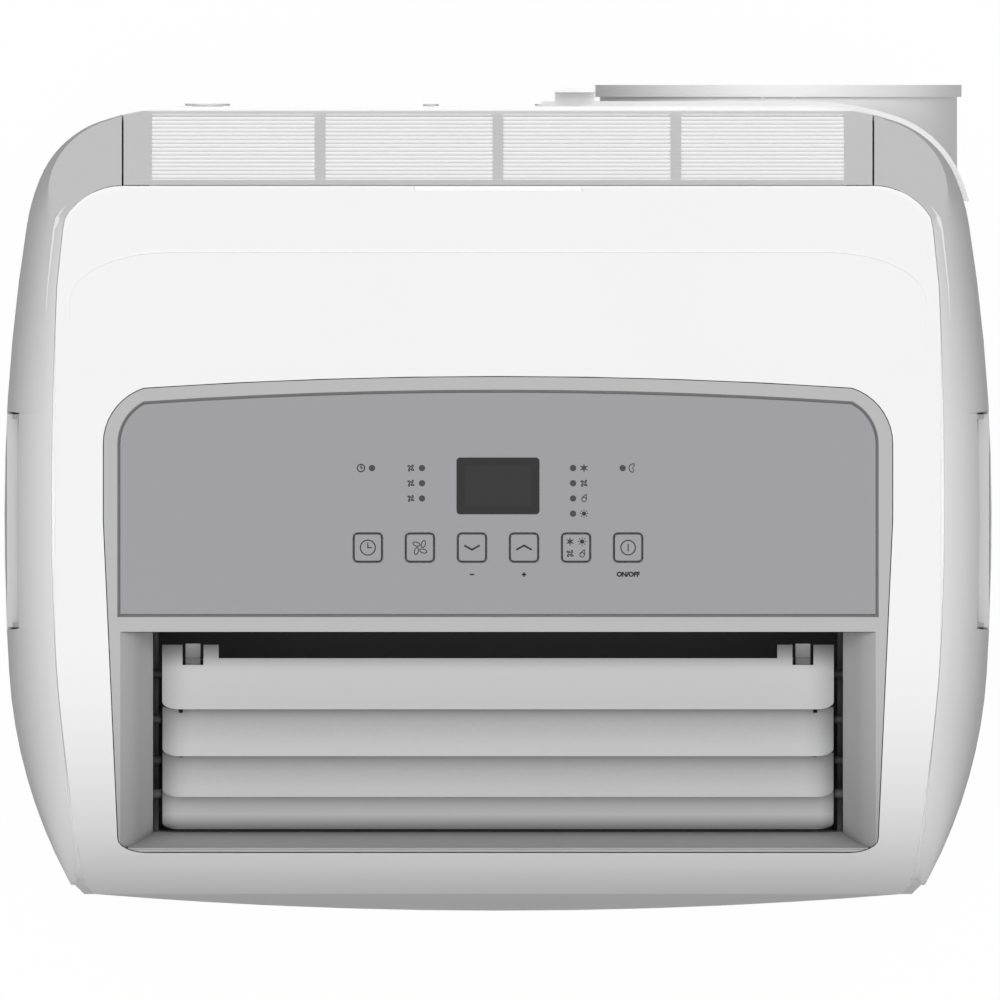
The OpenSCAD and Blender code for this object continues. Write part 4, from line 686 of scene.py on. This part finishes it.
# ---- Grilles and filters
# The upper and lower intake grilles are white louvred frames that tilt out, each with a woven
# nylon dust filter clipped behind it.
grille_white = moulded("grille_white", (0.9, 0.9, 0.9), rough=0.55, gloss=0.25)
dress(grille_white, "upper_grille", "lower_grille")
mesh_grey, tree, shader, place = start_material("filter_mesh")
weave = []
for direction in "XZ":
    wave = tree.nodes.new("ShaderNodeTexWave")
    wave.wave_type = "BANDS"
    wave.bands_direction = direction
    wave.inputs["Scale"].default_value = 180
    tree.links.new(place.outputs["Object"], wave.inputs["Vector"])
    weave.append(wave)
strand = tree.nodes.new("ShaderNodeMath")
strand.operation = "MAXIMUM"
tree.links.new(weave[0].outputs["Fac"], strand.inputs[0])
tree.links.new(weave[1].outputs["Fac"], strand.inputs[1])
tone = two_tone(tree, (0.03, 0.03, 0.032), (0.22, 0.22, 0.23))
tree.links.new(strand.outputs[0], tone.inputs["Factor"])
tree.links.new(tone.outputs["Result"], shader.inputs["Base Color"])
relief(tree, shader, strand.outputs[0], 0.6, 0.0004)
shader.inputs["Roughness"].default_value = 0.7
dress(mesh_grey, "upper_filter", "lower_filter")

# ---- Hose adaptor and cord hooks
# The round hose adaptor plugs into the exhaust pocket at the back. It, the two cord hooks and the
# cord gland are white plastic, a little glossier than the casing.
adaptor_white = moulded("adaptor_white", (0.92, 0.92, 0.92), rough=0.42, gloss=0.35)
dress(adaptor_white, "exhaust_adaptor", "cord_hooks", "cord_inlet")

# ---- Coils
# Aluminium fin packs, with upright fins drawn by a banded tone and bump on plain blocks.
fins, tree, shader, place = start_material("coil_fins")
wave = tree.nodes.new("ShaderNodeTexWave")
wave.wave_type = "BANDS"
wave.bands_direction = "X"
wave.inputs["Scale"].default_value = 170
tone = two_tone(tree, (0.12, 0.12, 0.13), (0.72, 0.74, 0.76))
tree.links.new(place.outputs["Object"], wave.inputs["Vector"])
tree.links.new(wave.outputs["Fac"], tone.inputs["Factor"])
tree.links.new(tone.outputs["Result"], shader.inputs["Base Color"])
relief(tree, shader, wave.outputs["Fac"], 0.8, 0.0006)
shader.inputs["Metallic"].default_value = 0.85
shader.inputs["Roughness"].default_value = 0.35
dress(fins, "evaporator_coil", "condenser_coil")

# ---- Air path and fans
# Natural ABS scrolls, trays and splash wheel, and two dark glass-filled blower wheels.
natural = moulded("natural_plastic", (0.72, 0.72, 0.7), rough=0.55, gloss=0.3)
dress(natural, "evaporator_scroll", "condenser_scroll", "partition_tray", "base_tray",
      "splash_wheel")
blower_black = moulded("blower_black", (0.03, 0.03, 0.032), rough=0.5, gloss=0.3)
dress(blower_black, "evaporator_fan_wheel", "condenser_fan_wheel")


# ---- Motors, boxes and screws
# Zinc-plated pressed steel for the motor cans, the electrical box and the capacitor, and copper
# for the pipes. The casing screws have heads painted white.
def plated(name, colour, rough, grain):
    """Bare or plated metal with a faint spangle."""
    mat, tree, shader, place = start_material(name)
    spangle = tree.nodes.new("ShaderNodeTexVoronoi")
    spangle.inputs["Scale"].default_value = 1 / grain
    tone = two_tone(tree, [c * 0.86 for c in colour], colour)
    rub = tree.nodes.new("ShaderNodeMapRange")
    rub.inputs["To Min"].default_value = rough - 0.06
    rub.inputs["To Max"].default_value = rough + 0.08
    tree.links.new(place.outputs["Object"], spangle.inputs["Vector"])
    tree.links.new(spangle.outputs["Color"], tone.inputs["Factor"])
    tree.links.new(tone.outputs["Result"], shader.inputs["Base Color"])
    tree.links.new(spangle.outputs["Distance"], rub.inputs["Value"])
    tree.links.new(rub.outputs["Result"], shader.inputs["Roughness"])
    shader.inputs["Metallic"].default_value = 1
    return mat


dress(plated("plated_steel", (0.62, 0.63, 0.64), 0.35, 0.006), "evaporator_fan_motor",
      "condenser_fan_motor", "splash_motor", "swing_motor", "run_capacitor", "electrical_box")
dress(casing_white, "casing_screws")
dress(plated("copper_tube", (0.72, 0.36, 0.2), 0.28, 0.01), "refrigerant_pipes")

# ---- Compressor
# A black-painted welded shell with its accumulator, on three rubber feet, and the rubber drain cap.
shell_black = moulded("shell_black", (0.012, 0.012, 0.013), rough=0.35, grain=0.002, depth=0.25,
                      gloss=0.5)
dress(shell_black, "compressor", "accumulator")
rubber = moulded("rubber_black", (0.022, 0.022, 0.022), rough=0.75, grain=0.0008, depth=0.35,
                 gloss=0.25)
dress(rubber, "compressor_feet", "drain_cap")

# ---- Casters
# Four swivel casters: black nylon forks and grey polyurethane treads.
nylon = moulded("nylon_black", (0.02, 0.02, 0.021), rough=0.45, gloss=0.35)
tread = moulded("tread_grey", (0.075, 0.075, 0.08), rough=0.65, grain=0.001, depth=0.3, gloss=0.3)
for side in ("front_left", "front_right", "rear_left", "rear_right"):
    dress(nylon, "caster_fork_" + side)
    dress(tread, "caster_wheel_" + side)

low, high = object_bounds()
rows = [list(cad_low), list(cad_high), list(low), list(high)]
